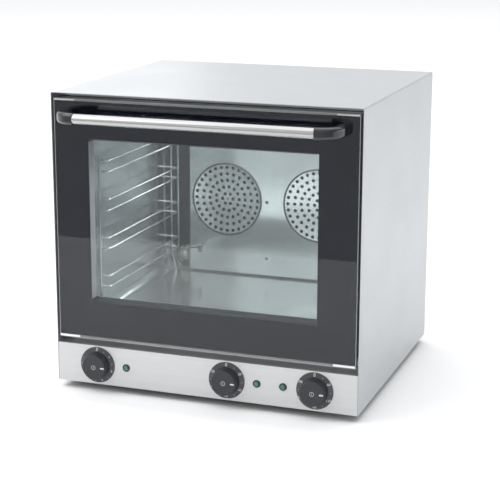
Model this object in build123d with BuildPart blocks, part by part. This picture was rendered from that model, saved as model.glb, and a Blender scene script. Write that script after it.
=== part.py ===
from build123d import *
import math
import os

os.makedirs("parts", exist_ok=True)

# Convection oven: a free-standing steel box with a drop-down glass door, two rear fans
# and a control panel below the door.
# Millimetres. +X is the viewer's right, +Y goes to the back, +Z is up.
# The origin is on the floor, under the middle of the whole object.

# General fits
sheet_clearance = 0.3      # between pressed or moulded pieces that don't touch
shaft_clearance = 0.05     # radial, for a turning shaft or a screw in its hole
hole_clearance = 0.8       # radial, where a tube or leg passes through a wall
wool_clearance = 1.5       # radial, more room where it passes through the wool

# Casing
case_width = 595.0
case_depth = 525.0
case_height = 555.0
case_sheet = 1.0
case_edge_radius = 3.0

# Feet and base pan
foot_height = 15.0
foot_diameter = 34.0
foot_taper = 2.5
foot_inset_x = 90.0
foot_inset_y = 62.0
base_sheet = 1.2
base_recess = 2.0
base_flange = 18.0
base_slot_length = 60.0
base_slot_width = 5.0
base_slot_pitch = 14.0
base_slot_count = 6

# Control panel
panel_height = 75.5
panel_sheet = 1.2
panel_side_gap = 0.5
panel_flange = 6.0
control_height = 38.5      # knob and lamp centres above the casing's bottom edge
function_from_side = 83.5  # function knob's centre from the casing's left side
timer_x = 47.0
thermostat_from_side = 81.0
function_lamp_gap = 59.0   # knob centre to the indicator lamp beside it
timer_lamp_gap = 58.5
thermostat_lamp_gap = 60.5

# Knobs
dial_diameter = 70.0
dial_thickness = 4.5
dial_rim = 1.2              # straight part of the dial's edge
dial_top_diameter = 54.0
knob_base_diameter = 52.0
knob_face_diameter = 47.0
knob_height = 15.6
knob_edge_radius = 2.0
knob_wall = 2.5
pointer_length = 7.0
pointer_width = 2.4
pointer_height = 0.5
pointer_inset = 2.2
spindle_diameter = 6.0
spindle_depth_in_knob = 11.0
spindle_depth_in_switch = 14.0
spindle_boss_diameter = 14.0

# Switch bodies behind the panel
switch_width = 44.0
switch_depth = 32.0
switch_corner = 3.0
switch_tab_width = 6.0
switch_tab_thickness = 1.0
switch_tab_height = 12.0
switch_tab_pitch = 12.0
switch_tab_row_gap = 18.0
function_pole_count = 3
timer_pole_count = 2
thermostat_pole_count = 1

# Indicator lamps
indicator_rim_diameter = 15.0
indicator_rim_thickness = 1.6
indicator_body_diameter = 12.0
indicator_body_length = 24.0
indicator_lens_diameter = 9.5
indicator_lens_dome = 2.0

# Door
door_thickness = 27.0
door_side_gap = 4.7
door_top_gap = 9.3
door_sheet = 1.2
door_edge_setback = 0.5
door_flange_width = 45.0
outer_glass_thickness = 4.0
outer_glass_corner = 3.0
outer_glass_chamfer = 0.5
top_trim_height = 2.6
bottom_trim_height = 3.8
end_cover_length = 41.0
end_cover_chamfer = 0.6
window_side_margin = 67.3  # door's side edge to the inner window
window_end_margin = 78.6   # door's bottom or top edge to the inner window, seal included
inner_glass_thickness = 4.0
inner_glass_lap = 9.0
glass_seal_height = 6.6
bracket_hole_clearance = 1.0

# Door hinge
hinge_back = 16.0          # axis behind the door's front face
hinge_up = 10.0            # axis above the door's bottom edge
hinge_pin_diameter = 6.0
hinge_pin_head = 10.0
hinge_pin_head_thickness = 1.3
hinge_plate = 2.0
hinge_plate_height = 18.0
hinge_plate_front = 8.0
hinge_plate_tail = 24.0
hinge_plate_foot = 22.0
hinge_leaf_width = 20.0
hinge_leaf_depth = 15.0
hinge_leaf_height = 36.0
hinge_side_clearance = 0.8
swing_clearance = 3.3      # door's bottom front edge over the panel, at its lowest
frame_clearance = 2.1      # door's bottom rear edge before the front frame

# Handle
handle_diameter = 19.0
handle_wall = 1.2
handle_standoff = 52.0
handle_end_inset = 65.8    # tube's end from the door's side edge
handle_below_door_top = 28.2
bracket_height = 21.0
bracket_reach = 47.0       # from the tube's end to the bracket's outermost side
bracket_thickness = 20.0
bracket_rounding = 6.0
bracket_spigot = 18.0
handle_screw_diameter = 5.0
handle_screw_length = 18.0
handle_screw_offset = 3.0  # nearer the tube than the bracket foot's middle
handle_screw_head = 9.0
handle_screw_head_height = 3.0

# Front frame and cavity
frame_sheet = 1.2
frame_flange = 12.0
frame_lap_on_panel = 12.0
cavity_side_space = 67.5   # casing's side to the cavity's wall
cavity_top_space = 67.0
cavity_floor_space = 52.5  # control panel's top edge to the cavity's floor
cavity_rear_space = 77.0   # rear cover's outside to the cavity's rear wall
cavity_corner_radius = 22.0
liner_sheet = 1.0
gasket_inset = 6.0
gasket_width = 10.0

# Insulation and inner plates
insulation_thickness = 25.0
rear_insulation_thickness = 17.4
shelf_sheet = 1.0
shelf_flange = 12.0
motor_plate_sheet = 1.2

# Baffle and fan guards
baffle_side_gap = 48.0
baffle_sheet = 1.0
baffle_floor_gap = 4.0
baffle_top_gap = 4.0
baffle_flange_depth = 14.0
baffle_flange_lean = 10.0
fan_space = 47.0           # between the baffle's front face and the rear wall, less one sheet
fan_drop = 20.0            # fan centres below the cavity's middle
guard_middle_gap = 25.0    # each guard from the oven's middle
guard_edge_gap = 7.0       # each guard from the baffle's side edge
guard_bead_width = 4.0
guard_bead_height = 1.6
guard_dish_depth = 5.0
guard_hole_diameter = 7.0
guard_first_ring = 11.3       # radius of the innermost ring of holes
guard_last_inset = 7.8        # outermost ring of holes from the bead
guard_hole_pitches = (11.8, 12.2, 12.3, 13.9, 13.2)  # along each ring, from the middle out
guard_centre_hole = 5.0
baffle_post_diameter = 7.0
baffle_post_x = -12.0
baffle_post_pitch = 119.8
baffle_screw_diameter = 4.0
baffle_screw_head = 7.5
baffle_screw_head_height = 2.2
baffle_screw_length = 14.0

# Fan wheels, shafts and motors
wheel_inset = 7.0          # wheel's edge inside the guard's
wheel_depth = 26.0
wheel_rear_gap = 9.0
wheel_disc = 1.2
wheel_blade = 1.2
wheel_blade_count = 10
wheel_blade_length = 34.0
wheel_blade_lean = 20.0
wheel_hub_diameter = 18.0
shaft_diameter = 8.0
shaft_nose = 2.0
motor_flange_width = 92.0
motor_flange_height = 40.0
motor_flange_sheet = 1.5
motor_leg_diameter = 7.0
motor_leg_length = 8.0
motor_leg_pitch = 50.0
motor_stack_width = 64.0
motor_stack_height = 58.0
motor_stack_depth = 22.0
motor_coil_depth = 8.0
motor_coil_height = 40.0
motor_bell_diameter = 30.0
motor_bell_depth = 9.0

# Heating elements
element_outset = 5.0       # element ring's middle line outside the guard's edge
element_tube_diameter = 7.0
element_rear_gap = 25.0
element_gap_angle = 14.0
element_bend_radius = 9.0
element_tail = 20.0
element_pin_diameter = 3.5
element_pin_length = 9.0
element_flange_width = 44.0
element_flange_height = 16.0
element_flange_thickness = 2.0

# Side racks
rack_post_diameter = 5.0
rack_wire_diameter = 4.0
rack_post_from_wall = 8.0
rack_run_from_wall = 24.0
rack_front_inset = 11.0    # front posts behind the front frame's face
rack_rear_inset = 6.0      # rear posts before the baffle
rack_lowest_height = 53.0  # lowest wire above the cavity floor
rack_pitch = 74.0
rack_pair_gap = 21.0
rack_top_gap = 29.0        # least room above the highest wire
rack_bend_radius = 7.0
rack_wall_gap = 0.3
rack_weld_gap = 0.1        # between touching wires, which are welded there
rack_post_overrun = 9.0
rack_foot_drop = 14.0
rack_foot_inset = 6.0      # foot's end nearer the wall than the tray wires

# Oven lamp
lamp_from_wall = 21.0
lamp_height_above_floor = 24.0
lamp_flange_diameter = 36.0
lamp_flange_thickness = 4.0
lamp_flange_chamfer = 1.5
lamp_body_diameter = 24.0
lamp_body_length = 36.0
lamp_lens_diameter = 30.0
lamp_lens_length = 24.0
lamp_lens_wall = 1.6
lamp_bulb_diameter = 12.0
lamp_bulb_length = 16.0
lamp_socket_diameter = 14.0
lamp_socket_length = 4.0

# Thermostat probe
probe_diameter = 4.5
probe_reach = 29.0         # sensing rod's right end from the baffle's left edge
capillary_straight = 1.0
probe_height_above_floor = 56.0
probe_slope = 7.0
probe_from_baffle = 5.0
capillary_diameter = 2.4
capillary_bend_radius = 5.0
capillary_from_baffle = 7.0
clip_width = 8.0
clip_wall = 1.6
clip_tab = 9.0

# Steam vent
vent_diameter = 22.0
vent_wall = 1.0
vent_x = 0.0
vent_below_top = 38.0
vent_reach = 10.0

# Rear cover, gland and terminal block
cover_sheet = 1.0
cover_slot_length = 76.0
cover_slot_width = 5.0
cover_slot_pitch = 13.0
cover_slot_count = 7
cover_screw_diameter = 4.0
cover_screw_head = 8.0
cover_screw_head_height = 2.2
cover_screw_length = 9.0
cover_screw_inset = 9.0
cover_lip = 16.0
gland_from_side = 87.5
gland_height = 48.0
gland_diameter = 24.0
gland_thread_diameter = 16.0
gland_bore_diameter = 9.5
gland_reach = 20.0
gland_nut_thickness = 4.0
gland_chamfer = 2.0
terminal_length = 64.0
terminal_depth = 22.0
terminal_height = 26.0
terminal_gap = 20.0
terminal_pole_count = 3

# Places that follow from the sizes
handle_reach = handle_standoff + handle_diameter / 2
front_y = (handle_reach - case_depth - gland_reach) / 2
back_y = front_y + case_depth
case_bottom = foot_height
case_top = case_bottom + case_height
side_inner = case_width / 2 - case_sheet
top_inner = case_top - case_sheet
panel_top = case_bottom + panel_height
control_z = case_bottom + control_height

door_front = front_y
door_back = front_y + door_thickness
door_half = side_inner - door_side_gap
front_swing = math.hypot(hinge_back, hinge_up)
rear_swing = math.hypot(door_thickness - hinge_back, hinge_up)
door_bottom = panel_top + front_swing - hinge_up + swing_clearance
door_top = top_inner - door_top_gap
hinge_y = door_front + hinge_back
hinge_z = door_bottom + hinge_up
frame_front = hinge_y + rear_swing + frame_clearance
frame_back = frame_front + frame_sheet

cavity_width = case_width - 2 * cavity_side_space
cavity_floor = panel_top + cavity_floor_space
cavity_top = case_top - cavity_top_space
cavity_height = cavity_top - cavity_floor
cavity_middle = (cavity_floor + cavity_top) / 2
wall_x = cavity_width / 2
cavity_rear = back_y - cavity_rear_space
liner_back = cavity_rear + liner_sheet

baffle_half = wall_x - baffle_side_gap
baffle_front = cavity_rear - fan_space - baffle_sheet
baffle_back = baffle_front + baffle_sheet
guard_radius = (baffle_half - guard_middle_gap - guard_edge_gap) / 2
fan_x = guard_middle_gap + guard_radius
fan_z = cavity_middle - fan_drop
fan_xs = (-fan_x, fan_x)
guard_ring_step = (guard_radius - guard_last_inset - guard_first_ring) / (len(guard_hole_pitches) - 1)
wheel_diameter = 2 * (guard_radius - wheel_inset)
element_ring_radius = guard_radius + element_outset

insulation_back = liner_back + sheet_clearance + rear_insulation_thickness
motor_plate_front = insulation_back + sheet_clearance
motor_plate_back = motor_plate_front + motor_plate_sheet
sleeve_half = wall_x + liner_sheet + sheet_clearance + insulation_thickness
sleeve_bottom = cavity_floor - liner_sheet - sheet_clearance - insulation_thickness
sleeve_top = cavity_top + liner_sheet + sheet_clearance + insulation_thickness
shelf_top = sleeve_bottom - sheet_clearance

base_bottom = case_bottom + base_recess
base_top = base_bottom + base_sheet
pan_front = front_y + panel_sheet + panel_flange + sheet_clearance
cover_front = back_y - cover_sheet

function_x = function_from_side - case_width / 2
thermostat_x = case_width / 2 - thermostat_from_side
indicator_left_x = function_x + function_lamp_gap
indicator_middle_x = timer_x + timer_lamp_gap
indicator_right_x = thermostat_x - thermostat_lamp_gap
handle_half = door_half - handle_end_inset
handle_y = door_front - handle_standoff
handle_z = door_top - handle_below_door_top
vent_z = cavity_top - vent_below_top
lamp_x = lamp_from_wall - wall_x
gland_x = case_width / 2 - gland_from_side
lamp_z = cavity_floor + lamp_height_above_floor
gland_z = case_bottom + gland_height
probe_z = cavity_floor + probe_height_above_floor


def across(y):
    """Upright sketch plane across the oven at depth y; its normal points to the front."""
    return Plane.XZ.offset(-y)


def block(x_span, y_span, z_span, mode=Mode.ADD):
    """Box between low and high values along each axis."""
    spans = (x_span, y_span, z_span)
    centre = tuple((low + high) / 2 for low, high in spans)
    size = tuple(high - low for low, high in spans)
    with Locations(centre):
        Box(*size, mode=mode)


def rod(centre_xz, y_span, radius, mode=Mode.ADD):
    """Round bar along Y between two depths."""
    low, high = y_span
    with Locations(Location((centre_xz[0], (low + high) / 2, centre_xz[1]), (90, 0, 0))):
        Cylinder(radius, high - low, mode=mode)


def cross_rod(centre_yz, x_span, radius, mode=Mode.ADD):
    """Round bar along X between two sides."""
    low, high = x_span
    with Locations(Location(((low + high) / 2, centre_yz[0], centre_yz[1]), (0, 90, 0))):
        Cylinder(radius, high - low, mode=mode)


def side_span(side, inner, outer):
    """Low and high x of a strip from inner to outer on one side (-1 left, 1 right)."""
    return tuple(sorted((side * inner, side * outer)))


def finish(piece, name):
    """Label the piece and write its file."""
    piece.part.label = name
    export_step(piece.part, f"parts/{name}.step")


# Plates that meet the casing's top inside keep clear of its rounded fold
fold_clearance = max(case_edge_radius - case_sheet, 0.2)

# Rear cover and its screws, which go into lips folded in from the casing's sides
cover_low = case_bottom
cover_high = top_inner - fold_clearance
cover_screw_places = [
    (side * (side_inner - cover_screw_inset), height)
    for side in (-1, 1)
    for height in (
        cover_low + 3 * cover_screw_inset,
        (cover_low + cover_high) / 2,
        cover_high - 3 * cover_screw_inset,
    )
]

# Casing: top and both sides folded from one sheet, open at the front, back and bottom
with BuildPart() as casing_wrap:
    with BuildSketch(across(front_y)):
        with Locations((0, (case_bottom + case_top) / 2)):
            Rectangle(case_width, case_height)
    extrude(amount=-case_depth)
    top_edges = casing_wrap.edges().filter_by(Axis.Y).group_by(Axis.Z)[-1]
    fillet(top_edges, case_edge_radius)
    with BuildSketch(across(front_y)) as wrap_inside:
        with Locations((0, (case_bottom + top_inner) / 2)):
            Rectangle(2 * side_inner, top_inner - case_bottom)
        top_corners = wrap_inside.vertices().group_by(Axis.Y)[-1]
        fillet(top_corners, fold_clearance)
    extrude(amount=-case_depth, mode=Mode.SUBTRACT)
    for side in (-1, 1):
        lip_x = side_span(side, side_inner - cover_lip, side_inner)
        block(lip_x, (cover_front - case_sheet, cover_front), (cover_low, cover_high))
    for x, z in cover_screw_places:
        rod(
            (x, z),
            (cover_front - case_sheet, cover_front),
            cover_screw_diameter / 2 + shaft_clearance,
            Mode.SUBTRACT,
        )
finish(casing_wrap, "casing_wrap")

# Base pan: shallow tray between the casing's sides, with cooling slots
with BuildPart() as base_pan:
    pan_span = (pan_front, cover_front - case_sheet)
    block((-side_inner, side_inner), pan_span, (base_bottom, base_top))
    for side in (-1, 1):
        flange_x = side_span(side, side_inner - base_sheet, side_inner)
        block(flange_x, pan_span, (base_bottom, base_bottom + base_flange))
    with BuildSketch(Plane.XY.offset(base_bottom)):
        with Locations((0, (front_y + back_y) / 2)):
            with GridLocations(2 * base_slot_length, base_slot_pitch, 2, base_slot_count):
                SlotOverall(base_slot_length, base_slot_width)
    extrude(amount=base_sheet, mode=Mode.SUBTRACT)
finish(base_pan, "base_pan")

# Feet: four short rubber feet with a chamfered tread
foot_x = case_width / 2 - foot_inset_x
foot_y = (front_y + foot_inset_y, back_y - foot_inset_y)
foot_places = [(x, y) for y in foot_y for x in (-foot_x, foot_x)]
with BuildPart() as feet:
    with BuildSketch(Plane.XY):
        with Locations(*foot_places):
            Circle(foot_diameter / 2 - foot_taper)
    with BuildSketch(Plane.XY.offset(base_bottom)):
        with Locations(*foot_places):
            Circle(foot_diameter / 2)
    for low_face, high_face in zip(feet.pending_faces[:4], feet.pending_faces[4:]):
        loft(sections=[low_face, high_face])
finish(feet, "feet")

# Control panel: flanged steel strip across the front, below the door
knob_xs = (function_x, timer_x, thermostat_x)
indicator_xs = (indicator_left_x, indicator_middle_x, indicator_right_x)
panel_half = side_inner - panel_side_gap
spindle_radius = spindle_diameter / 2
with BuildPart() as control_panel:
    panel_z = (case_bottom, panel_top)
    block((-panel_half, panel_half), (front_y, front_y + panel_sheet), panel_z)
    block(
        (-panel_half, panel_half),
        (front_y, frame_front),
        (panel_top - panel_sheet, panel_top),
    )
    block(
        (-panel_half, panel_half),
        (front_y, front_y + panel_sheet + panel_flange),
        (case_bottom, case_bottom + panel_sheet),
    )
    for x in knob_xs:
        rod(
            (x, control_z),
            (front_y, front_y + panel_sheet),
            spindle_radius + hole_clearance,
            Mode.SUBTRACT,
        )
    for x in indicator_xs:
        rod(
            (x, control_z),
            (front_y, front_y + panel_sheet),
            indicator_body_diameter / 2 + shaft_clearance,
            Mode.SUBTRACT,
        )
finish(control_panel, "control_panel")


# Dial rings: one fixed coned ring behind each knob
with BuildPart() as dial_rings:
    dial_span = (front_y - dial_thickness, front_y)
    rim_front = front_y - dial_rim
    for x in knob_xs:
        rod((x, control_z), (rim_front, front_y), dial_diameter / 2)
        with BuildSketch(across(rim_front)):
            with Locations((x, control_z)):
                Circle(dial_diameter / 2)
        with BuildSketch(across(front_y - dial_thickness)):
            with Locations((x, control_z)):
                Circle(dial_top_diameter / 2)
        loft()
    for x in knob_xs:
        rod(
            (x, control_z),
            dial_span,
            spindle_boss_diameter / 2 + hole_clearance,
            Mode.SUBTRACT,
        )
finish(dial_rings, "dial_rings")

# Knobs: a turning cap with a pointer, and its spindle
knob_back = front_y - dial_thickness - sheet_clearance
knob_front = knob_back - knob_height
spindle_front = knob_back - spindle_depth_in_knob
spindle_back = front_y + panel_sheet + spindle_depth_in_switch


def make_knob(x, name):
    with BuildPart() as knob:
        with BuildSketch(across(knob_back)):
            with Locations((x, control_z)):
                Circle(knob_base_diameter / 2)
        with BuildSketch(across(knob_front)):
            with Locations((x, control_z)):
                Circle(knob_face_diameter / 2)
        loft()
        fillet(knob.faces().sort_by(Axis.Y)[0].edges(), knob_edge_radius)
        rod(
            (x, control_z),
            (knob_front + knob_wall, knob_back),
            knob_face_diameter / 2 - knob_wall,
            Mode.SUBTRACT,
        )
        rod((x, control_z), (knob_front + knob_wall, knob_back), spindle_boss_diameter / 2)
        rod(
            (x, control_z),
            (spindle_front - sheet_clearance, knob_back),
            spindle_radius + shaft_clearance,
            Mode.SUBTRACT,
        )
        pointer_end = x + knob_face_diameter / 2 - pointer_inset
        block(
            (pointer_end - pointer_length, pointer_end),
            (knob_front - pointer_height, knob_front),
            (control_z - pointer_width / 2, control_z + pointer_width / 2),
        )
    finish(knob, name)


def make_spindle(x, name):
    with BuildPart() as spindle:
        rod((x, control_z), (spindle_front, spindle_back), spindle_radius)
    finish(spindle, name)


# Switch body: block behind the panel with a bore for its spindle and two tabs
def make_switch(x, name, poles):
    body_front = front_y + panel_sheet
    body_back = body_front + switch_depth
    with BuildPart() as switch:
        block(
            (x - switch_width / 2, x + switch_width / 2),
            (body_front, body_back),
            (control_z - switch_width / 2, control_z + switch_width / 2),
        )
        fillet(switch.edges().filter_by(Axis.Y), switch_corner)
        rod(
            (x, control_z),
            (body_front, spindle_back + sheet_clearance),
            spindle_radius + shaft_clearance,
            Mode.SUBTRACT,
        )
        with BuildSketch(across(body_back)):
            with Locations((x, control_z)):
                with GridLocations(switch_tab_pitch, switch_tab_row_gap, poles, 2):
                    Rectangle(switch_tab_thickness, switch_tab_width)
        extrude(amount=-switch_tab_height)
    finish(switch, name)


controls = (
    ("function", function_x, "function_switch", function_pole_count),
    ("timer", timer_x, "timer_unit", timer_pole_count),
    ("thermostat", thermostat_x, "thermostat_unit", thermostat_pole_count),
)
for control_name, control_x, body_name, pole_count in controls:
    make_knob(control_x, f"{control_name}_knob")
    make_spindle(control_x, f"{control_name}_spindle")
    make_switch(control_x, body_name, pole_count)

# Indicator lamps: flanged bezel through the panel, with a domed lens
with BuildPart() as indicator_bezels:
    rim_front = front_y - indicator_rim_thickness
    for x in indicator_xs:
        rod((x, control_z), (rim_front, front_y), indicator_rim_diameter / 2)
    chamfer(indicator_bezels.faces().group_by(Axis.Y)[0].edges(), indicator_rim_thickness / 2)
    for x in indicator_xs:
        rod(
            (x, control_z),
            (front_y - indicator_rim_thickness / 2, front_y + indicator_body_length),
            indicator_body_diameter / 2,
        )
        rod(
            (x, control_z),
            (rim_front, front_y),
            indicator_lens_diameter / 2,
            Mode.SUBTRACT,
        )
finish(indicator_bezels, "indicator_bezels")

with BuildPart() as indicator_lenses:
    lens_radius = indicator_lens_diameter / 2 - shaft_clearance
    for x in indicator_xs:
        rod((x, control_z), (rim_front - indicator_lens_dome, front_y), lens_radius)
    dome_edges = indicator_lenses.faces().group_by(Axis.Y)[0].edges()
    fillet(dome_edges, min(indicator_lens_dome, lens_radius) * 0.9)
finish(indicator_lenses, "indicator_lenses")

# Front frame: face plate around the cavity's mouth, with side flanges along the casing
hinge_plate_outer = door_half + hinge_side_clearance + hinge_plate
hinge_slot_low = hinge_z - hinge_plate_height / 2 - sheet_clearance
hinge_slot_high = hinge_z + hinge_plate_height / 2 + sheet_clearance
frame_low = panel_top - frame_lap_on_panel
with BuildPart() as front_frame:
    block(
        (-side_inner, side_inner),
        (frame_front, frame_back),
        (frame_low, top_inner - fold_clearance),
    )
    for side in (-1, 1):
        flange_x = side_span(side, side_inner - frame_sheet, side_inner)
        block(
            flange_x,
            (frame_front, frame_back + frame_flange),
            (hinge_slot_high, top_inner - fold_clearance),
        )
    top_flange = (top_inner - frame_sheet, top_inner)
    top_half = side_inner - fold_clearance
    block((-top_half, top_half), (frame_front, frame_back + frame_flange), top_flange)
    block(
        (-top_half, top_half),
        (frame_front, frame_back),
        (top_inner - 2 * fold_clearance, top_inner),
    )
    with BuildSketch(across(frame_front)):
        with Locations((0, cavity_middle)):
            RectangleRounded(cavity_width, cavity_height, cavity_corner_radius)
    extrude(amount=-frame_sheet, mode=Mode.SUBTRACT)
    for side in (-1, 1):
        slot_x = side_span(
            side,
            hinge_plate_outer - hinge_plate - sheet_clearance,
            hinge_plate_outer + sheet_clearance,
        )
        block(
            slot_x,
            (frame_front, frame_back),
            (hinge_slot_low, hinge_slot_high),
            Mode.SUBTRACT,
        )
finish(front_frame, "front_frame")

# Door gasket: flat ring on the frame around the mouth
with BuildPart() as cavity_gasket:
    gasket_y = door_back + sheet_clearance
    with BuildSketch(across(gasket_y)):
        for grow, fill in ((gasket_inset + gasket_width, Mode.ADD), (gasket_inset, Mode.SUBTRACT)):
            with Locations((0, cavity_middle)):
                RectangleRounded(
                    cavity_width + 2 * grow,
                    cavity_height + 2 * grow,
                    cavity_corner_radius + grow,
                    mode=fill,
                )
    extrude(amount=gasket_y - frame_front)
finish(cavity_gasket, "cavity_gasket")


# Places of what passes through the cavity's rear wall
element_leg_x = (
    element_ring_radius * math.sin(math.radians(element_gap_angle))
    - element_bend_radius * math.cos(math.radians(element_gap_angle))
)
element_leg_drop = (
    element_ring_radius * math.cos(math.radians(element_gap_angle))
    + element_bend_radius * math.sin(math.radians(element_gap_angle))
)
element_legs = [
    (x + side * element_leg_x, fan_z - element_leg_drop) for x in fan_xs for side in (-1, 1)
]
probe_exit_x = -(baffle_half + baffle_flange_lean + capillary_from_baffle)
probe_left_z = probe_z - probe_slope
shaft_radius = shaft_diameter / 2


def rear_openings(plane_y, thickness, extra=0.0):
    """Cut the holes for shafts, element legs, lamp, probe and vent through a rear plate."""
    with BuildSketch(across(plane_y)) as holes:
        with Locations(*[(x, fan_z) for x in fan_xs]):
            Circle(shaft_radius + 2 * hole_clearance + extra)
        with Locations(*element_legs):
            Circle(element_tube_diameter / 2 + hole_clearance + extra)
        with Locations((lamp_x, lamp_z)):
            Circle(lamp_body_diameter / 2 + shaft_clearance + extra)
        with Locations((probe_exit_x, probe_left_z)):
            Circle(capillary_diameter / 2 + hole_clearance + extra)
        with Locations((vent_x, vent_z)):
            Circle(vent_diameter / 2 - vent_wall + shaft_clearance + extra)
    extrude(holes.sketch, amount=-thickness, mode=Mode.SUBTRACT)


# Cavity wrap: floor, sides and ceiling bent from one sheet, with rounded corners
with BuildPart() as cavity_wrap:
    with BuildSketch(across(frame_back)):
        with Locations((0, cavity_middle)):
            RectangleRounded(
                cavity_width + 2 * liner_sheet,
                cavity_height + 2 * liner_sheet,
                cavity_corner_radius + liner_sheet,
            )
    extrude(amount=frame_back - cavity_rear)
    with BuildSketch(across(frame_back)):
        with Locations((0, cavity_middle)):
            RectangleRounded(cavity_width, cavity_height, cavity_corner_radius)
    extrude(amount=frame_back - cavity_rear, mode=Mode.SUBTRACT)
finish(cavity_wrap, "cavity_wrap")

# Cavity rear wall: closes the wrap behind the fans
with BuildPart() as cavity_rear_wall:
    with BuildSketch(across(cavity_rear)):
        with Locations((0, cavity_middle)):
            RectangleRounded(
                cavity_width + 2 * liner_sheet,
                cavity_height + 2 * liner_sheet,
                cavity_corner_radius + liner_sheet,
            )
    extrude(amount=-liner_sheet)
    rear_openings(cavity_rear, liner_sheet)
finish(cavity_rear_wall, "cavity_rear_wall")

# Insulation: mineral wool sleeve around the liner and a slab behind it
with BuildPart() as insulation_sleeve:
    sleeve_front = frame_back + sheet_clearance
    block((-sleeve_half, sleeve_half), (sleeve_front, liner_back), (sleeve_bottom, sleeve_top))
    inner_grow = liner_sheet + sheet_clearance
    with BuildSketch(across(sleeve_front)):
        with Locations((0, cavity_middle)):
            RectangleRounded(
                cavity_width + 2 * inner_grow,
                cavity_height + 2 * inner_grow,
                cavity_corner_radius + inner_grow,
            )
    extrude(amount=sleeve_front - liner_back, mode=Mode.SUBTRACT)
finish(insulation_sleeve, "insulation_sleeve")

rear_wool_front = liner_back + sheet_clearance
with BuildPart() as insulation_rear:
    block(
        (-sleeve_half, sleeve_half),
        (rear_wool_front, insulation_back),
        (sleeve_bottom, sleeve_top),
    )
    rear_openings(rear_wool_front, rear_insulation_thickness, wool_clearance)
finish(insulation_rear, "insulation_rear")

# Shelf under the insulation: roof of the control compartment
with BuildPart() as compartment_shelf:
    shelf_bottom = shelf_top - shelf_sheet
    shelf_y = (frame_back, motor_plate_front)
    block((-side_inner, side_inner), shelf_y, (shelf_bottom, shelf_top))
    tail_back = frame_back + hinge_plate_tail + sheet_clearance
    for side in (-1, 1):
        flange_x = side_span(side, side_inner - shelf_sheet, side_inner)
        block(flange_x, (tail_back, motor_plate_front), (shelf_bottom - shelf_flange, shelf_top))
        notch_x = side_span(
            side, hinge_plate_outer - hinge_plate_foot - sheet_clearance, side_inner
        )
        block(notch_x, (frame_back, tail_back), (shelf_bottom, shelf_top), Mode.SUBTRACT)
finish(compartment_shelf, "compartment_shelf")

# Motor plate: upright bulkhead that closes the insulation and carries both motors
with BuildPart() as motor_plate:
    block(
        (-side_inner, side_inner),
        (motor_plate_front, motor_plate_back),
        (base_top, top_inner - fold_clearance),
    )
    for side in (-1, 1):
        notch_x = side_span(side, side_inner - base_sheet, side_inner)
        notch_z = (base_top, base_bottom + base_flange)
        block(notch_x, (motor_plate_front, motor_plate_back), notch_z, Mode.SUBTRACT)
    rear_openings(motor_plate_front, motor_plate_sheet)
finish(motor_plate, "motor_plate")

# Rear cover: plate with a louvre field behind each motor, seated on a lip inside the casing
slot_centres = [
    (x, fan_z + (row - (cover_slot_count - 1) / 2) * cover_slot_pitch)
    for x in fan_xs
    for row in range(cover_slot_count)
]
with BuildPart() as rear_cover:
    block(
        (-side_inner, side_inner),
        (cover_front, back_y),
        (cover_low, cover_high),
    )
    with BuildSketch(across(cover_front)) as cover_holes:
        with Locations(*slot_centres):
            SlotOverall(cover_slot_length, cover_slot_width)
        with Locations((gland_x, gland_z)):
            Circle(gland_thread_diameter / 2 + shaft_clearance)
        with Locations((vent_x, vent_z)):
            Circle(vent_diameter / 2 + hole_clearance)
        with Locations(*cover_screw_places):
            Circle(cover_screw_diameter / 2 + shaft_clearance)
    extrude(amount=-cover_sheet, mode=Mode.SUBTRACT)
finish(rear_cover, "rear_cover")

with BuildPart() as cover_screws:
    for x, z in cover_screw_places:
        rod((x, z), (back_y - cover_screw_length, back_y), cover_screw_diameter / 2)
        rod((x, z), (back_y, back_y + cover_screw_head_height), cover_screw_head / 2)
finish(cover_screws, "cover_screws")

# Cable gland with its nut, and the terminal block on the base pan
with BuildPart() as cable_gland:
    gland_place = (gland_x, gland_z)
    rod(gland_place, (back_y, back_y + gland_reach), gland_diameter / 2)
    chamfer(cable_gland.faces().sort_by(Axis.Y)[-1].edges(), gland_chamfer)
    rod(
        gland_place,
        (cover_front - 2 * gland_nut_thickness, back_y),
        gland_thread_diameter / 2,
    )
    with BuildSketch(across(cover_front)):
        with Locations(gland_place):
            RegularPolygon(gland_diameter / 2, 6)
    extrude(amount=gland_nut_thickness)
    rod(
        gland_place,
        (cover_front - 2 * gland_nut_thickness, back_y + gland_reach),
        gland_bore_diameter / 2,
        Mode.SUBTRACT,
    )
finish(cable_gland, "cable_gland")

with BuildPart() as terminal_block:
    terminal_back = cover_front - 2 * gland_nut_thickness - terminal_gap
    block(
        (gland_x - terminal_length / 2, gland_x + terminal_length / 2),
        (terminal_back - terminal_depth, terminal_back),
        (base_top, base_top + terminal_height),
    )
    pole_pitch = terminal_length / terminal_pole_count
    with BuildSketch(Plane.XY.offset(base_top + terminal_height)):
        with Locations((gland_x, terminal_back - terminal_depth / 2)):
            with GridLocations(pole_pitch, terminal_depth / 2, terminal_pole_count, 2):
                Circle(terminal_depth / 8)
    extrude(amount=-terminal_height / 3, mode=Mode.SUBTRACT)
finish(terminal_block, "terminal_block")

# Steam vent: tube from the cavity's rear wall out through the rear cover
with BuildPart() as steam_vent:
    vent_place = (vent_x, vent_z)
    vent_bore = vent_diameter / 2 - vent_wall
    rod(vent_place, (motor_plate_back, back_y + vent_reach), vent_diameter / 2)
    rod(vent_place, (cavity_rear, motor_plate_back), vent_bore)
    rod(
        vent_place,
        (cavity_rear, back_y + vent_reach),
        vent_bore - vent_wall,
        Mode.SUBTRACT,
    )
finish(steam_vent, "steam_vent")

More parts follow.
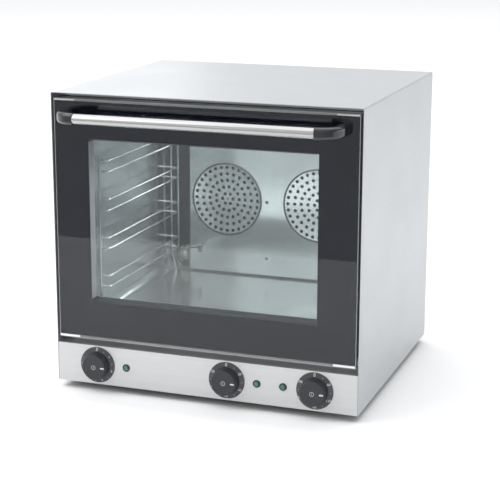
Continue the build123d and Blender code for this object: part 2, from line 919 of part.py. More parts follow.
# Baffle: panel before the fans with leaning side flanges and two dished fan guards
baffle_low = cavity_floor + baffle_floor_gap
baffle_high = cavity_top - baffle_top_gap
baffle_post_zs = [fan_z + step * baffle_post_pitch for step in (-1, 0, 1)]
with BuildPart() as baffle_panel:
    block((-baffle_half, baffle_half), (baffle_front, baffle_back), (baffle_low, baffle_high))
    with BuildSketch(Plane.XY.offset(baffle_low)):
        with BuildLine():
            Polyline(
                (-baffle_half, baffle_front),
                (-baffle_half - baffle_flange_lean, baffle_front + baffle_flange_depth),
                (-baffle_half - baffle_flange_lean + baffle_sheet, baffle_front + baffle_flange_depth),
                (-baffle_half + baffle_sheet, baffle_back),
                (-baffle_half + baffle_sheet, baffle_front),
                close=True,
            )
        make_face()
    extrude(amount=baffle_high - baffle_low)
    dish_radius = guard_radius - guard_bead_width / 2
    sphere_radius = (dish_radius**2 + guard_dish_depth**2) / (2 * guard_dish_depth)
    middle_r = dish_radius / 2
    middle_y = guard_dish_depth - sphere_radius + math.sqrt(sphere_radius**2 - middle_r**2)
    rod(
        (fan_xs[0], fan_z),
        (baffle_front, baffle_back),
        guard_radius + guard_bead_width / 2,
        Mode.SUBTRACT,
    )
    with BuildSketch(Plane.XY.offset(fan_z)):
        with BuildLine(Plane((fan_xs[0], baffle_front, fan_z))):
            rim_r = guard_radius + guard_bead_width / 2
            ThreePointArc((rim_r, 0), (guard_radius, -guard_bead_height), (dish_radius, 0))
            ThreePointArc((dish_radius, 0), (middle_r, middle_y), (0, guard_dish_depth))
            Line((0, guard_dish_depth), (0, guard_dish_depth + baffle_sheet))
            ThreePointArc(
                (0, guard_dish_depth + baffle_sheet),
                (middle_r, middle_y + baffle_sheet),
                (dish_radius, baffle_sheet),
            )
            ThreePointArc(
                (dish_radius, baffle_sheet),
                (guard_radius, baffle_sheet - guard_bead_height),
                (rim_r, baffle_sheet),
            )
            Line((rim_r, baffle_sheet), (rim_r, 0))
        make_face()
    revolve(axis=Axis((fan_xs[0], baffle_front, fan_z), (0, 1, 0)))
    with BuildSketch(across(baffle_front - guard_bead_height)):
        with Locations((fan_xs[0], fan_z)):
            Circle(guard_centre_hole / 2)
            for ring, hole_pitch in enumerate(guard_hole_pitches):
                ring_radius = guard_first_ring + ring * guard_ring_step
                with PolarLocations(ring_radius, round(2 * math.pi * ring_radius / hole_pitch)):
                    Circle(guard_hole_diameter / 2)
    extrude(
        amount=-(guard_bead_height + guard_dish_depth + 2 * baffle_sheet),
        mode=Mode.SUBTRACT,
    )
    split(bisect_by=Plane.YZ, keep=Keep.BOTTOM)
    mirror(about=Plane.YZ)
    for post_z in baffle_post_zs:
        rod(
            (baffle_post_x, post_z),
            (baffle_front, baffle_back),
            baffle_screw_diameter / 2 + shaft_clearance,
            Mode.SUBTRACT,
        )
finish(baffle_panel, "baffle_panel")

with BuildPart() as baffle_posts:
    for post_z in baffle_post_zs:
        rod((baffle_post_x, post_z), (baffle_back, cavity_rear), baffle_post_diameter / 2)
        rod(
            (baffle_post_x, post_z),
            (baffle_back, baffle_front + baffle_screw_length + sheet_clearance),
            baffle_screw_diameter / 2 + shaft_clearance,
            Mode.SUBTRACT,
        )
finish(baffle_posts, "baffle_posts")

with BuildPart() as baffle_screws:
    for post_z in baffle_post_zs:
        rod(
            (baffle_post_x, post_z),
            (baffle_front - baffle_screw_head_height, baffle_front),
            baffle_screw_head / 2,
        )
    fillet(baffle_screws.faces().group_by(Axis.Y)[0].edges(), baffle_screw_head_height / 2)
    for post_z in baffle_post_zs:
        rod(
            (baffle_post_x, post_z),
            (baffle_front, baffle_front + baffle_screw_length),
            baffle_screw_diameter / 2,
        )
finish(baffle_screws, "baffle_screws")

# Fan wheels: back disc, hub and leaning blades
wheel_back = cavity_rear - wheel_rear_gap
wheel_front = wheel_back - wheel_depth
lean = math.radians(wheel_blade_lean)
blade_middle = wheel_diameter / 2 - wheel_blade_length / 2 * math.cos(lean) - wheel_blade
motor_stack_front = motor_plate_back + motor_flange_sheet + motor_leg_length
motor_stack_back = motor_stack_front + motor_stack_depth
bell_back = motor_stack_back + motor_bell_depth


def make_fan_wheel(x, name):
    with BuildPart() as wheel:
        rod((x, fan_z), (wheel_back - wheel_disc, wheel_back), wheel_diameter / 2)
        rod((x, fan_z), (wheel_front, wheel_back), wheel_hub_diameter / 2)
        with BuildSketch(across(wheel_front)):
            with Locations((x, fan_z)):
                with PolarLocations(blade_middle, wheel_blade_count):
                    Rectangle(wheel_blade_length, wheel_blade, rotation=wheel_blade_lean)
        extrude(amount=-wheel_depth)
        rod(
            (x, fan_z),
            (wheel_front, wheel_back),
            shaft_radius + shaft_clearance,
            Mode.SUBTRACT,
        )
    finish(wheel, name)


def make_fan_shaft(x, name):
    with BuildPart() as shaft:
        rod((x, fan_z), (wheel_front - shaft_nose, bell_back - shaft_nose), shaft_radius)
        chamfer(shaft.faces().sort_by(Axis.Y)[0].edges(), shaft_radius / 4)
    finish(shaft, name)


def make_fan_motor(x, name):
    """Shaded pole motor: flange, four legs, laminated stack, coil and rear bell."""
    with BuildPart() as motor:
        flange_back = motor_plate_back + motor_flange_sheet
        block(
            (x - motor_flange_width / 2, x + motor_flange_width / 2),
            (motor_plate_back, flange_back),
            (fan_z - motor_flange_height / 2, fan_z + motor_flange_height / 2),
        )
        with BuildSketch(across(flange_back)):
            with Locations((x, fan_z)):
                with GridLocations(motor_leg_pitch, motor_leg_pitch / 2, 2, 2):
                    Circle(motor_leg_diameter / 2)
        extrude(amount=-motor_leg_length)
        block(
            (x - motor_stack_width / 2, x + motor_stack_width / 2),
            (motor_stack_front, motor_stack_back),
            (fan_z - motor_stack_height / 2, fan_z + motor_stack_height / 2),
        )
        block(
            (x - motor_coil_height / 2, x + motor_coil_height / 2),
            (motor_stack_front, motor_stack_back + motor_coil_depth),
            (
                fan_z - motor_stack_height / 2 - motor_coil_depth,
                fan_z - motor_stack_height / 2 + motor_coil_depth,
            ),
        )
        rod((x, fan_z), (motor_stack_back, bell_back), motor_bell_diameter / 2)
        rod(
            (x, fan_z),
            (motor_plate_back, bell_back - shaft_nose + sheet_clearance),
            shaft_radius + shaft_clearance,
            Mode.SUBTRACT,
        )
    finish(motor, name)


# Heating elements: open ring around each wheel, with two legs out through the rear wall
element_y = cavity_rear - element_rear_gap
element_end = motor_plate_back + element_tail
gap_angle = math.radians(element_gap_angle)


def make_element(x, name):
    ring_end = (element_ring_radius * math.sin(gap_angle), element_ring_radius * math.cos(gap_angle))
    leg_bend_y = element_y + element_bend_radius
    with BuildPart() as element:
        with BuildLine() as route:
            right_leg = (x + element_leg_x, fan_z - element_leg_drop)
            left_leg = (x - element_leg_x, fan_z - element_leg_drop)
            Line(
                (right_leg[0], element_end, right_leg[1]),
                (right_leg[0], leg_bend_y, right_leg[1]),
            )
            TangentArc(
                (right_leg[0], leg_bend_y, right_leg[1]),
                (x + ring_end[0], element_y, fan_z - ring_end[1]),
                tangent=(0, -1, 0),
            )
            ThreePointArc(
                (x + ring_end[0], element_y, fan_z - ring_end[1]),
                (x, element_y, fan_z + element_ring_radius),
                (x - ring_end[0], element_y, fan_z - ring_end[1]),
            )
            TangentArc(
                (left_leg[0], leg_bend_y, left_leg[1]),
                (x - ring_end[0], element_y, fan_z - ring_end[1]),
                tangent=(0, -1, 0),
            )
            Line(
                (left_leg[0], leg_bend_y, left_leg[1]),
                (left_leg[0], element_end, left_leg[1]),
            )
        with BuildSketch(across(element_end)) as tube_section:
            with Locations(right_leg):
                Circle(element_tube_diameter / 2)
        sweep(sections=tube_section.sketch, path=route.line)
        for leg in (left_leg, right_leg):
            rod(leg, (element_end, element_end + element_pin_length), element_pin_diameter / 2)
        block(
            (x - element_flange_width / 2, x + element_flange_width / 2),
            (cavity_rear - element_flange_thickness, cavity_rear),
            (left_leg[1] - element_flange_height / 2, left_leg[1] + element_flange_height / 2),
        )
    finish(element, name)


for side_name, fan_x in zip(("left", "right"), fan_xs):
    make_fan_wheel(fan_x, f"fan_wheel_{side_name}")
    make_fan_shaft(fan_x, f"fan_shaft_{side_name}")
    make_fan_motor(fan_x, f"fan_motor_{side_name}")
    make_element(fan_x, f"heating_element_{side_name}")

# Side racks: two bent posts, paired tray wires and a rear tray stop, which meet at welds
post_x = -(wall_x - rack_post_from_wall)
run_x = -(wall_x - rack_run_from_wall)
rack_wall_x = -(wall_x - rack_wall_gap)
rack_front_y = frame_front + rack_front_inset
rack_rear_y = baffle_front - rack_rear_inset
post_radius = rack_post_diameter / 2
wire_radius = rack_wire_diameter / 2
leg_offset = post_radius + wire_radius + rack_weld_gap
rack_low = cavity_floor + rack_lowest_height
rack_room = cavity_height - rack_lowest_height - rack_pair_gap - rack_top_gap
rack_levels = 1 + int(rack_room / rack_pitch)
wire_heights = [
    rack_low + level * rack_pitch + upper * rack_pair_gap
    for level in range(rack_levels)
    for upper in (0, 1)
]
rack_high = wire_heights[-1] + rack_post_overrun
foot_bend_z = rack_low - rack_foot_drop
foot_lean = rack_run_from_wall - rack_post_from_wall - rack_foot_inset
foot_end_z = cavity_floor + sheet_clearance + post_radius / 2

with BuildPart() as tray_wire:
    with BuildLine() as wire_route:
        FilletPolyline(
            (rack_wall_x, rack_front_y + leg_offset, 0),
            (run_x, rack_front_y + leg_offset, 0),
            (run_x, rack_rear_y - leg_offset, 0),
            (rack_wall_x, rack_rear_y - leg_offset, 0),
            radius=rack_bend_radius,
        )
    with BuildSketch(wire_route.line ^ 0) as wire_section:
        Circle(wire_radius)
    sweep(sections=wire_section.sketch, path=wire_route.line)


def make_post(post_y):
    with BuildPart() as post:
        with BuildLine() as post_route:
            FilletPolyline(
                (post_x, post_y, rack_high),
                (post_x, post_y, foot_bend_z),
                (post_x + foot_lean, post_y, foot_end_z),
                radius=2 * rack_post_diameter,
            )
        with BuildSketch(Plane.XY.offset(rack_high)) as post_section:
            with Locations((post_x, post_y)):
                Circle(post_radius)
        sweep(sections=post_section.sketch, path=post_route.line)
    return post.part


# The stop stands against the outside of the wires' rear bends
stop_outset = (rack_bend_radius + 2 * wire_radius + rack_weld_gap) / math.sqrt(2)
stop_x = run_x - rack_bend_radius + stop_outset
stop_y = rack_rear_y - leg_offset - rack_bend_radius + stop_outset
with BuildPart() as rack_left:
    for post_y in (rack_front_y, rack_rear_y):
        add(make_post(post_y))
    with Locations(*[(0, 0, height) for height in wire_heights]):
        add(tray_wire.part)
    with Locations((stop_x, stop_y, (rack_low + rack_high) / 2)):
        Cylinder(wire_radius, rack_high - rack_low)
finish(rack_left, "rack_left")

with BuildPart() as rack_right:
    mirror(rack_left.part, about=Plane.YZ)
finish(rack_right, "rack_right")

# Oven lamp: holder through the rear wall, bulb and glass dome
lamp_place = (lamp_x, lamp_z)
lamp_flange_front = cavity_rear - lamp_flange_thickness
bulb_seat = lamp_flange_front + lamp_socket_length
with BuildPart() as lamp_holder:
    rod(lamp_place, (lamp_flange_front, cavity_rear), lamp_flange_diameter / 2)
    chamfer(lamp_holder.faces().sort_by(Axis.Y)[0].edges(), lamp_flange_chamfer)
    rod(lamp_place, (cavity_rear, cavity_rear + lamp_body_length), lamp_body_diameter / 2)
    rod(
        lamp_place,
        (lamp_flange_front, bulb_seat),
        lamp_socket_diameter / 2,
        Mode.SUBTRACT,
    )
finish(lamp_holder, "lamp_holder")

with BuildPart() as lamp_bulb:
    bulb_front = bulb_seat - lamp_bulb_length
    rod(lamp_place, (bulb_front, bulb_seat), lamp_bulb_diameter / 2)
    fillet(lamp_bulb.faces().sort_by(Axis.Y)[0].edges(), lamp_bulb_diameter / 2 * 0.9)
finish(lamp_bulb, "lamp_bulb")

with BuildPart() as lamp_lens:
    rod(
        lamp_place,
        (lamp_flange_front - lamp_lens_length, lamp_flange_front),
        lamp_lens_diameter / 2,
    )
    fillet(lamp_lens.faces().sort_by(Axis.Y)[0].edges(), lamp_lens_diameter / 3)
    lens_mouth = lamp_lens.faces().sort_by(Axis.Y)[-1]
    offset(amount=-lamp_lens_wall, openings=lens_mouth)
finish(lamp_lens, "lamp_lens")

# Thermostat probe: sensing rod before the baffle, its capillary out through the rear wall
probe_y = baffle_front - probe_from_baffle
probe_left_x = probe_exit_x + capillary_bend_radius + capillary_straight
rod_start = Vector(probe_reach - baffle_half, probe_y, probe_z)
rod_end = Vector(probe_left_x, probe_y, probe_left_z)
rod_direction = (rod_end - rod_start).normalized()
rod_length = (rod_end - rod_start).length
with BuildPart() as temperature_probe:
    with BuildSketch(Plane(rod_start, z_dir=rod_direction)):
        Circle(probe_diameter / 2)
    extrude(amount=rod_length)
    with BuildLine() as capillary_route:
        FilletPolyline(
            (probe_left_x, probe_y, probe_left_z),
            (probe_exit_x, probe_y, probe_left_z),
            (probe_exit_x, motor_plate_back + element_tail / 2, probe_left_z),
            radius=capillary_bend_radius,
        )
    with BuildSketch(capillary_route.line ^ 0) as capillary_section:
        Circle(capillary_diameter / 2)
    sweep(sections=capillary_section.sketch, path=capillary_route.line)
finish(temperature_probe, "temperature_probe")

with BuildPart() as probe_clip:
    clip_centre = rod_start + rod_direction * clip_width
    clip_radius = probe_diameter / 2 + shaft_clearance + clip_wall
    clip_x = (clip_centre.X - clip_width / 2, clip_centre.X + clip_width / 2)
    with BuildSketch(Plane(clip_centre - rod_direction * (clip_width / 2), z_dir=rod_direction)):
        Circle(clip_radius)
    extrude(amount=clip_width)
    block(
        clip_x,
        (probe_y, baffle_front),
        (clip_centre.Z - clip_radius, clip_centre.Z - clip_radius + clip_wall),
    )
    block(
        clip_x,
        (baffle_front - clip_wall, baffle_front),
        (clip_centre.Z - clip_radius - clip_tab, clip_centre.Z),
    )
    with BuildSketch(Plane(clip_centre - rod_direction * clip_width, z_dir=rod_direction)):
        Circle(probe_diameter / 2 + shaft_clearance)
    extrude(amount=2 * clip_width, mode=Mode.SUBTRACT)
finish(probe_clip, "probe_clip")

# Door frame: pressed pan with a flange behind the outer glass and the inner window opening
pan_front = door_front + door_edge_setback
flange_front = door_front + outer_glass_thickness + sheet_clearance
inner_opening_low = door_bottom + window_end_margin
inner_opening_high = door_top - window_end_margin
inner_opening_half = door_half - window_side_margin
handle_screw_x = handle_half + bracket_reach - bracket_thickness / 2 - handle_screw_offset
handle_screw_xs = (-handle_screw_x, handle_screw_x)
pin_hole_radius = hinge_pin_diameter / 2 + shaft_clearance
with BuildPart() as door_frame:
    block((-door_half, door_half), (pan_front, door_back), (door_bottom, door_top))
    inside_half = door_half - door_sheet
    inside_z = (door_bottom + door_sheet, door_top - door_sheet)
    block((-inside_half, inside_half), (pan_front, flange_front), inside_z, Mode.SUBTRACT)
    block(
        (-inside_half, inside_half),
        (flange_front + door_sheet, door_back - door_sheet),
        inside_z,
        Mode.SUBTRACT,
    )
    flange_half = door_half - door_flange_width
    block(
        (-flange_half, flange_half),
        (flange_front, flange_front + door_sheet),
        (door_bottom + door_flange_width, door_top - door_flange_width),
        Mode.SUBTRACT,
    )
    block(
        (-inner_opening_half, inner_opening_half),
        (door_back - door_sheet, door_back),
        (inner_opening_low - glass_seal_height, inner_opening_high + glass_seal_height),
        Mode.SUBTRACT,
    )
    cross_rod((hinge_y, hinge_z), (-door_half, door_half), pin_hole_radius, Mode.SUBTRACT)
    for x in handle_screw_xs:
        rod(
            (x, handle_z),
            (flange_front, flange_front + door_sheet),
            handle_screw_diameter / 2 + shaft_clearance,
            Mode.SUBTRACT,
        )
finish(door_frame, "door_frame")

# Outer glass with its two trims, and the inner glass with its seal strips
glass_half = door_half - door_sheet - sheet_clearance
glass_low = door_bottom + door_sheet + bottom_trim_height + 2 * sheet_clearance
glass_high = door_top - door_sheet - top_trim_height - 2 * sheet_clearance
with BuildPart() as door_outer_glass:
    with BuildSketch(across(door_front)):
        with Locations((0, (glass_low + glass_high) / 2)):
            RectangleRounded(2 * glass_half, glass_high - glass_low, outer_glass_corner)
        with Locations(*[(x, handle_z) for x in handle_screw_xs]):
            Circle(handle_screw_diameter / 2 + bracket_hole_clearance, mode=Mode.SUBTRACT)
    extrude(amount=-outer_glass_thickness)
    front_edges = door_outer_glass.faces().sort_by(Axis.Y)[0].outer_wire().edges()
    chamfer(front_edges, outer_glass_chamfer)
finish(door_outer_glass, "door_outer_glass")

trim_y = (door_front, flange_front)
end_cover_inner = glass_half - end_cover_length
top_trim_low = glass_high + sheet_clearance
bottom_trim_low = door_bottom + door_sheet + sheet_clearance


# Trim strip along the glass's edge, with a chamfered cover at each end
def make_trim(trim_z, name):
    with BuildPart() as trim:
        for side in (-1, 1):
            block(side_span(side, end_cover_inner, glass_half), trim_y, trim_z)
        chamfer(trim.edges().filter_by(Axis.X).group_by(Axis.Y)[0], end_cover_chamfer)
        trim_half = end_cover_inner - sheet_clearance
        block((-trim_half, trim_half), trim_y, trim_z)
    finish(trim, name)


make_trim((top_trim_low, top_trim_low + top_trim_height), "door_top_trim")
make_trim((bottom_trim_low, bottom_trim_low + bottom_trim_height), "door_bottom_trim")

inner_glass_back = door_back - door_sheet
with BuildPart() as door_inner_glass:
    lap = inner_glass_lap
    block(
        (-inner_opening_half - lap, inner_opening_half + lap),
        (inner_glass_back - inner_glass_thickness, inner_glass_back),
        (
            inner_opening_low - glass_seal_height - lap,
            inner_opening_high + glass_seal_height + lap,
        ),
    )
finish(door_inner_glass, "door_inner_glass")

with BuildPart() as door_glass_seals:
    seal_spans = (
        (inner_opening_low - glass_seal_height, inner_opening_low),
        (inner_opening_high, inner_opening_high + glass_seal_height),
    )
    for seal_z in seal_spans:
        block((-inner_opening_half, inner_opening_half), (inner_glass_back, door_back), seal_z)
finish(door_glass_seals, "door_glass_seals")

# Handle: straight tube between two moulded elbow brackets, each on a screw through the glass
tube_end = handle_half
handle_radius = handle_diameter / 2
with BuildPart() as handle_tube:
    cross_rod((handle_y, handle_z), (-tube_end, tube_end), handle_radius)
    tube_bore = handle_radius - handle_wall
    cross_rod((handle_y, handle_z), (-tube_end, tube_end), tube_bore, Mode.SUBTRACT)
finish(handle_tube, "handle_tube")

with BuildPart() as handle_brackets:
    outer_x = tube_end + bracket_reach
    inner_x = outer_x - bracket_thickness
    front_face = handle_y - handle_radius
    rear_face = handle_y + handle_radius
    with BuildSketch(Plane.XY.offset(handle_z - bracket_height / 2)):
        with BuildLine():
            Line((tube_end, rear_face), (tube_end, front_face))
            outer_corner_y = (front_face + door_front) / 2
            Bezier(
                (tube_end, front_face),
                (outer_x - bracket_thickness / 2, front_face),
                (outer_x + bracket_thickness / 8, outer_corner_y),
                (outer_x, door_front),
            )
            Line((outer_x, door_front), (inner_x, door_front))
            Bezier(
                (inner_x, door_front),
                (inner_x, outer_corner_y),
                (inner_x - bracket_thickness / 4, rear_face),
                (tube_end, rear_face),
            )
        make_face()
    extrude(amount=bracket_height)
    long_edges = handle_brackets.faces().filter_by(Axis.Z).edges().filter_by(GeomType.BEZIER)
    fillet(long_edges, bracket_rounding)
    cross_rod(
        (handle_y, handle_z),
        (tube_end - bracket_spigot, tube_end),
        tube_bore - shaft_clearance,
    )
    bracket_screw_end = flange_front + door_sheet - handle_screw_length
    rod(
        (handle_screw_x, handle_z),
        (bracket_screw_end - sheet_clearance, door_front),
        handle_screw_diameter / 2 + shaft_clearance,
        Mode.SUBTRACT,
    )
    mirror(about=Plane.YZ)
finish(handle_brackets, "handle_brackets")

with BuildPart() as handle_screws:
    head_front = flange_front + door_sheet
    for x in handle_screw_xs:
        rod((x, handle_z), (bracket_screw_end, head_front), handle_screw_diameter / 2)
        rod((x, handle_z), (head_front, head_front + handle_screw_head_height), handle_screw_head / 2)
finish(handle_screws, "handle_screws")

# Hinges: plates through the front frame, pins across to bored leaves in the door
plate_inner = hinge_plate_outer - hinge_plate
with BuildPart() as hinge_plates:
    plate_z = (hinge_z - hinge_plate_height / 2, hinge_z + hinge_plate_height / 2)
    for side in (-1, 1):
        plate_x = side_span(side, plate_inner, hinge_plate_outer)
        foot_x_span = side_span(side, hinge_plate_outer - hinge_plate_foot, hinge_plate_outer)
        block(plate_x, (door_front + hinge_plate_front, frame_back + hinge_plate_tail), plate_z)
        block(foot_x_span, (frame_back, frame_back + hinge_plate), plate_z)
    front_corners = hinge_plates.edges().filter_by(Axis.X).group_by(Axis.Y)[0]
    fillet(front_corners, hinge_plate_height / 3)
    cross_rod(
        (hinge_y, hinge_z),
        (-hinge_plate_outer, hinge_plate_outer),
        pin_hole_radius,
        Mode.SUBTRACT,
    )
finish(hinge_plates, "hinge_plates")

with BuildPart() as hinge_pins:
    leaf_outer = door_half - door_sheet
    leaf_inner = leaf_outer - hinge_leaf_width
    for side in (-1, 1):
        shank_x = side_span(side, leaf_inner + sheet_clearance, hinge_plate_outer)
        head_x = side_span(side, hinge_plate_outer, hinge_plate_outer + hinge_pin_head_thickness)
        cross_rod((hinge_y, hinge_z), shank_x, hinge_pin_diameter / 2)
        cross_rod((hinge_y, hinge_z), head_x, hinge_pin_head / 2)
finish(hinge_pins, "hinge_pins")

with BuildPart() as hinge_leaves:
    for side in (-1, 1):
        block(
            side_span(side, leaf_inner, leaf_outer),
            (hinge_y - hinge_leaf_depth / 2, hinge_y + hinge_leaf_depth / 2),
            (door_bottom + door_sheet, door_bottom + door_sheet + hinge_leaf_height),
        )
    cross_rod((hinge_y, hinge_z), (-leaf_outer, leaf_outer), pin_hole_radius, Mode.SUBTRACT)
finish(hinge_leaves, "hinge_leaves")
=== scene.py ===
"""Convection oven: finishes, dressed pieces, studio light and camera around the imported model.

Metres throughout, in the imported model's frame: +X is the viewer's right, +Y goes to the
back and +Z is up. The door's front face looks along -Y.
"""

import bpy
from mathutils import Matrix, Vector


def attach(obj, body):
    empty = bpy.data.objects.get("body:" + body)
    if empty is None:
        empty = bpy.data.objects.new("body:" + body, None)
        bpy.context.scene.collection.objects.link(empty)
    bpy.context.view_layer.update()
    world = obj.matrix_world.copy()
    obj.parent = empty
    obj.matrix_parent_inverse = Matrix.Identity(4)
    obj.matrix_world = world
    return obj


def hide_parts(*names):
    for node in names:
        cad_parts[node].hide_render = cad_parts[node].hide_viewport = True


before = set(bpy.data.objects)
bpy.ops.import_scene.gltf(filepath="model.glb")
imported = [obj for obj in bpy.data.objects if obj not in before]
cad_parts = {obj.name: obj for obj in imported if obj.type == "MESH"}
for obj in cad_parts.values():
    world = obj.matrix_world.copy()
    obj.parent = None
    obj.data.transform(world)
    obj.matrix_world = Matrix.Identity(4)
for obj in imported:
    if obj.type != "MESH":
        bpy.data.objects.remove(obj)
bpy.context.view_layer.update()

import logging
import math
from dataclasses import dataclass, field
from enum import Enum
from typing import Callable, Sequence

import bmesh
import bpy
import numpy as np

log = logging.getLogger("oven")

MM = 0.001
FORWARDS, BACKWARDS = -1.0, 1.0
SHARP_DEGREES = 40.0
SLAB_EDGE = 0.3
FINE_TURN, COARSE_TURN = 96, 48
Point = tuple[float, float, float]
Colour = tuple[float, float, float]
Surface = tuple[np.ndarray, list]
Tree = bpy.types.NodeTree
Socket = bpy.types.NodeSocket


# Surfaces


def grid_faces(rows: int, columns: int, wrap_rows: bool, wrap_columns: bool) -> np.ndarray:
    """Quads between neighbouring points of a grid.

    Args:
        rows: number of grid rows.
        columns: number of points in a row.
        wrap_rows: join the last row to the first.
        wrap_columns: join each row's last point to its first.

    Returns:
        Array of four point indices for each face.
    """
    row, column = np.meshgrid(
        np.arange(rows if wrap_rows else rows - 1),
        np.arange(columns if wrap_columns else columns - 1),
        indexing="ij",
    )
    next_row, next_column = (row + 1) % rows, (column + 1) % columns
    corners = (
        row * columns + column,
        row * columns + next_column,
        next_row * columns + next_column,
        next_row * columns + column,
    )
    return np.stack(corners, axis=-1).reshape(-1, 4)


def make_object(name: str, points: np.ndarray, faces: list) -> bpy.types.Object:
    """Mesh object at the origin, with merged doubles, outward faces and smooth shading.

    Args:
        name: the piece's name.
        points: array of x, y, z in metres.
        faces: lists of point indices.

    Returns:
        The linked object.
    """
    mesh = bpy.data.meshes.new(name)
    mesh.from_pydata(points.reshape(-1, 3).tolist(), [], [list(face) for face in faces])
    working = bmesh.new()
    working.from_mesh(mesh)
    bmesh.ops.remove_doubles(working, verts=working.verts, dist=1e-6)
    bmesh.ops.recalc_face_normals(working, faces=working.faces)
    working.to_mesh(mesh)
    working.free()
    mesh.polygons.foreach_set("use_smooth", np.ones(len(mesh.polygons), dtype=bool))
    mesh.set_sharp_from_angle(angle=math.radians(SHARP_DEGREES))
    mesh.update()
    piece = bpy.data.objects.new(name, mesh)
    bpy.context.scene.collection.objects.link(piece)
    return piece


def join_surfaces(name: str, surfaces: Sequence[Surface]) -> bpy.types.Object:
    """One object from several point and face sets, with the indices moved along.

    Args:
        name: the piece's name.
        surfaces: pairs of points and faces.

    Returns:
        The linked object.
    """
    points, faces, start = [], [], 0
    for surface_points, surface_faces in surfaces:
        flat = surface_points.reshape(-1, 3)
        points.append(flat)
        faces.extend([[index + start for index in face] for face in surface_faces])
        start += len(flat)
    return make_object(name, np.concatenate(points), faces)


def turned(profile: Sequence[tuple[float, float]], centre: Point, segments: int) -> Surface:
    """Surface turned about a line along Y.

    Formula: the point at profile step s and angle a is the centre plus radius(s) times
    (cos a, sin a) in X and Z, at depth(s) along Y. A radius of nought closes a pole.

    Args:
        profile: radius and depth pairs in millimetres, from one pole to the other.
        centre: x, y, z of the axis in millimetres; depths are added to y.
        segments: steps around.

    Returns:
        Points in metres and faces.
    """
    steps = np.array(profile, float)
    angle = np.linspace(0.0, 2.0 * math.pi, segments, endpoint=False)
    radius, depth = np.maximum(steps[:, :1], 0.0), steps[:, 1:]
    x = centre[0] + radius * np.cos(angle)
    z = centre[2] + radius * np.sin(angle)
    y = centre[1] + depth * np.ones_like(angle)
    points = np.stack((x, y, z), axis=-1) * MM
    return points, grid_faces(len(steps), segments, False, True).tolist()


def outline(half_width: float, half_height: float, corner: float, steps: int = 8) -> np.ndarray:
    """Rounded rectangle around the origin.

    Formula: four quarter circles of the corner radius, each centred one radius inside its
    corner, joined by straight sides.

    Args:
        half_width: half the width.
        half_height: half the height.
        corner: corner radius.
        steps: points on each quarter circle.

    Returns:
        Array of points, counter-clockwise.
    """
    angle = np.linspace(0.0, math.pi / 2, steps)
    quarter = np.stack((np.cos(angle), np.sin(angle)), axis=1) * corner
    turns = []
    for index, (sign_x, sign_z) in enumerate(((1, 1), (-1, 1), (-1, -1), (1, -1))):
        turn = index * math.pi / 2
        turned_quarter = quarter @ np.array(
            ((math.cos(turn), math.sin(turn)), (-math.sin(turn), math.cos(turn)))
        )
        turns.append(turned_quarter + (sign_x * (half_width - corner), sign_z * (half_height - corner)))
    return np.concatenate(turns)


def ring_plate(outer: np.ndarray, inner: np.ndarray, centre_z: float, front: float, back: float) -> Surface:
    """Flat plate between two outlines with the same count of points.

    Formula: four rings (outer front, inner front, inner back, outer back) joined in a loop.

    Args:
        outer: outer outline in millimetres.
        inner: inner outline in millimetres.
        centre_z: height of both outlines' middle.
        front: lowest y.
        back: highest y.

    Returns:
        Points in metres and faces.
    """
    rings = []
    for shape, depth in ((outer, front), (inner, front), (inner, back), (outer, back)):
        rings.append(np.stack((shape[:, 0], np.full(len(shape), depth), shape[:, 1] + centre_z), axis=-1))
    return np.array(rings) * MM, grid_faces(4, len(outer), True, True).tolist()


def slab(middle: tuple[float, float], shape: Point, depth: tuple[float, float]) -> Surface:
    """Closed slab with rounded corners and a softened front edge.

    Formula: the outline at each level is the rounded rectangle drawn in by that level's
    inset; the levels run from the back to the front and the insets of the last ones follow
    a quarter circle. The first and last rings are closed by one face each.

    Args:
        middle: x and z of the middle.
        shape: half width, half height and corner radius.
        depth: front y and back y.

    Returns:
        Points in metres and faces.
    """
    half_width, half_height, corner = shape
    front, back = depth
    edge = min((back - front) * 0.5, corner * 0.9, SLAB_EDGE)
    angle = np.linspace(0.0, math.pi / 2, 4)
    insets = np.concatenate(([0.0], edge * (1 - np.cos(angle))))
    levels = np.concatenate(([back], front + edge * (1 - np.sin(angle))))
    rings = []
    for inset, level in zip(insets, levels):
        ring = outline(half_width - inset, half_height - inset, corner - inset)
        x, z = ring[:, 0] + middle[0], ring[:, 1] + middle[1]
        rings.append(np.stack((x, np.full_like(x, level), z), axis=-1))
    points = np.array(rings)
    count = points.shape[1]
    faces = grid_faces(len(rings), count, False, True).tolist()
    faces.append(list(range(count)))
    faces.append(list(range((len(rings) - 1) * count, len(rings) * count)))
    return points * MM, faces


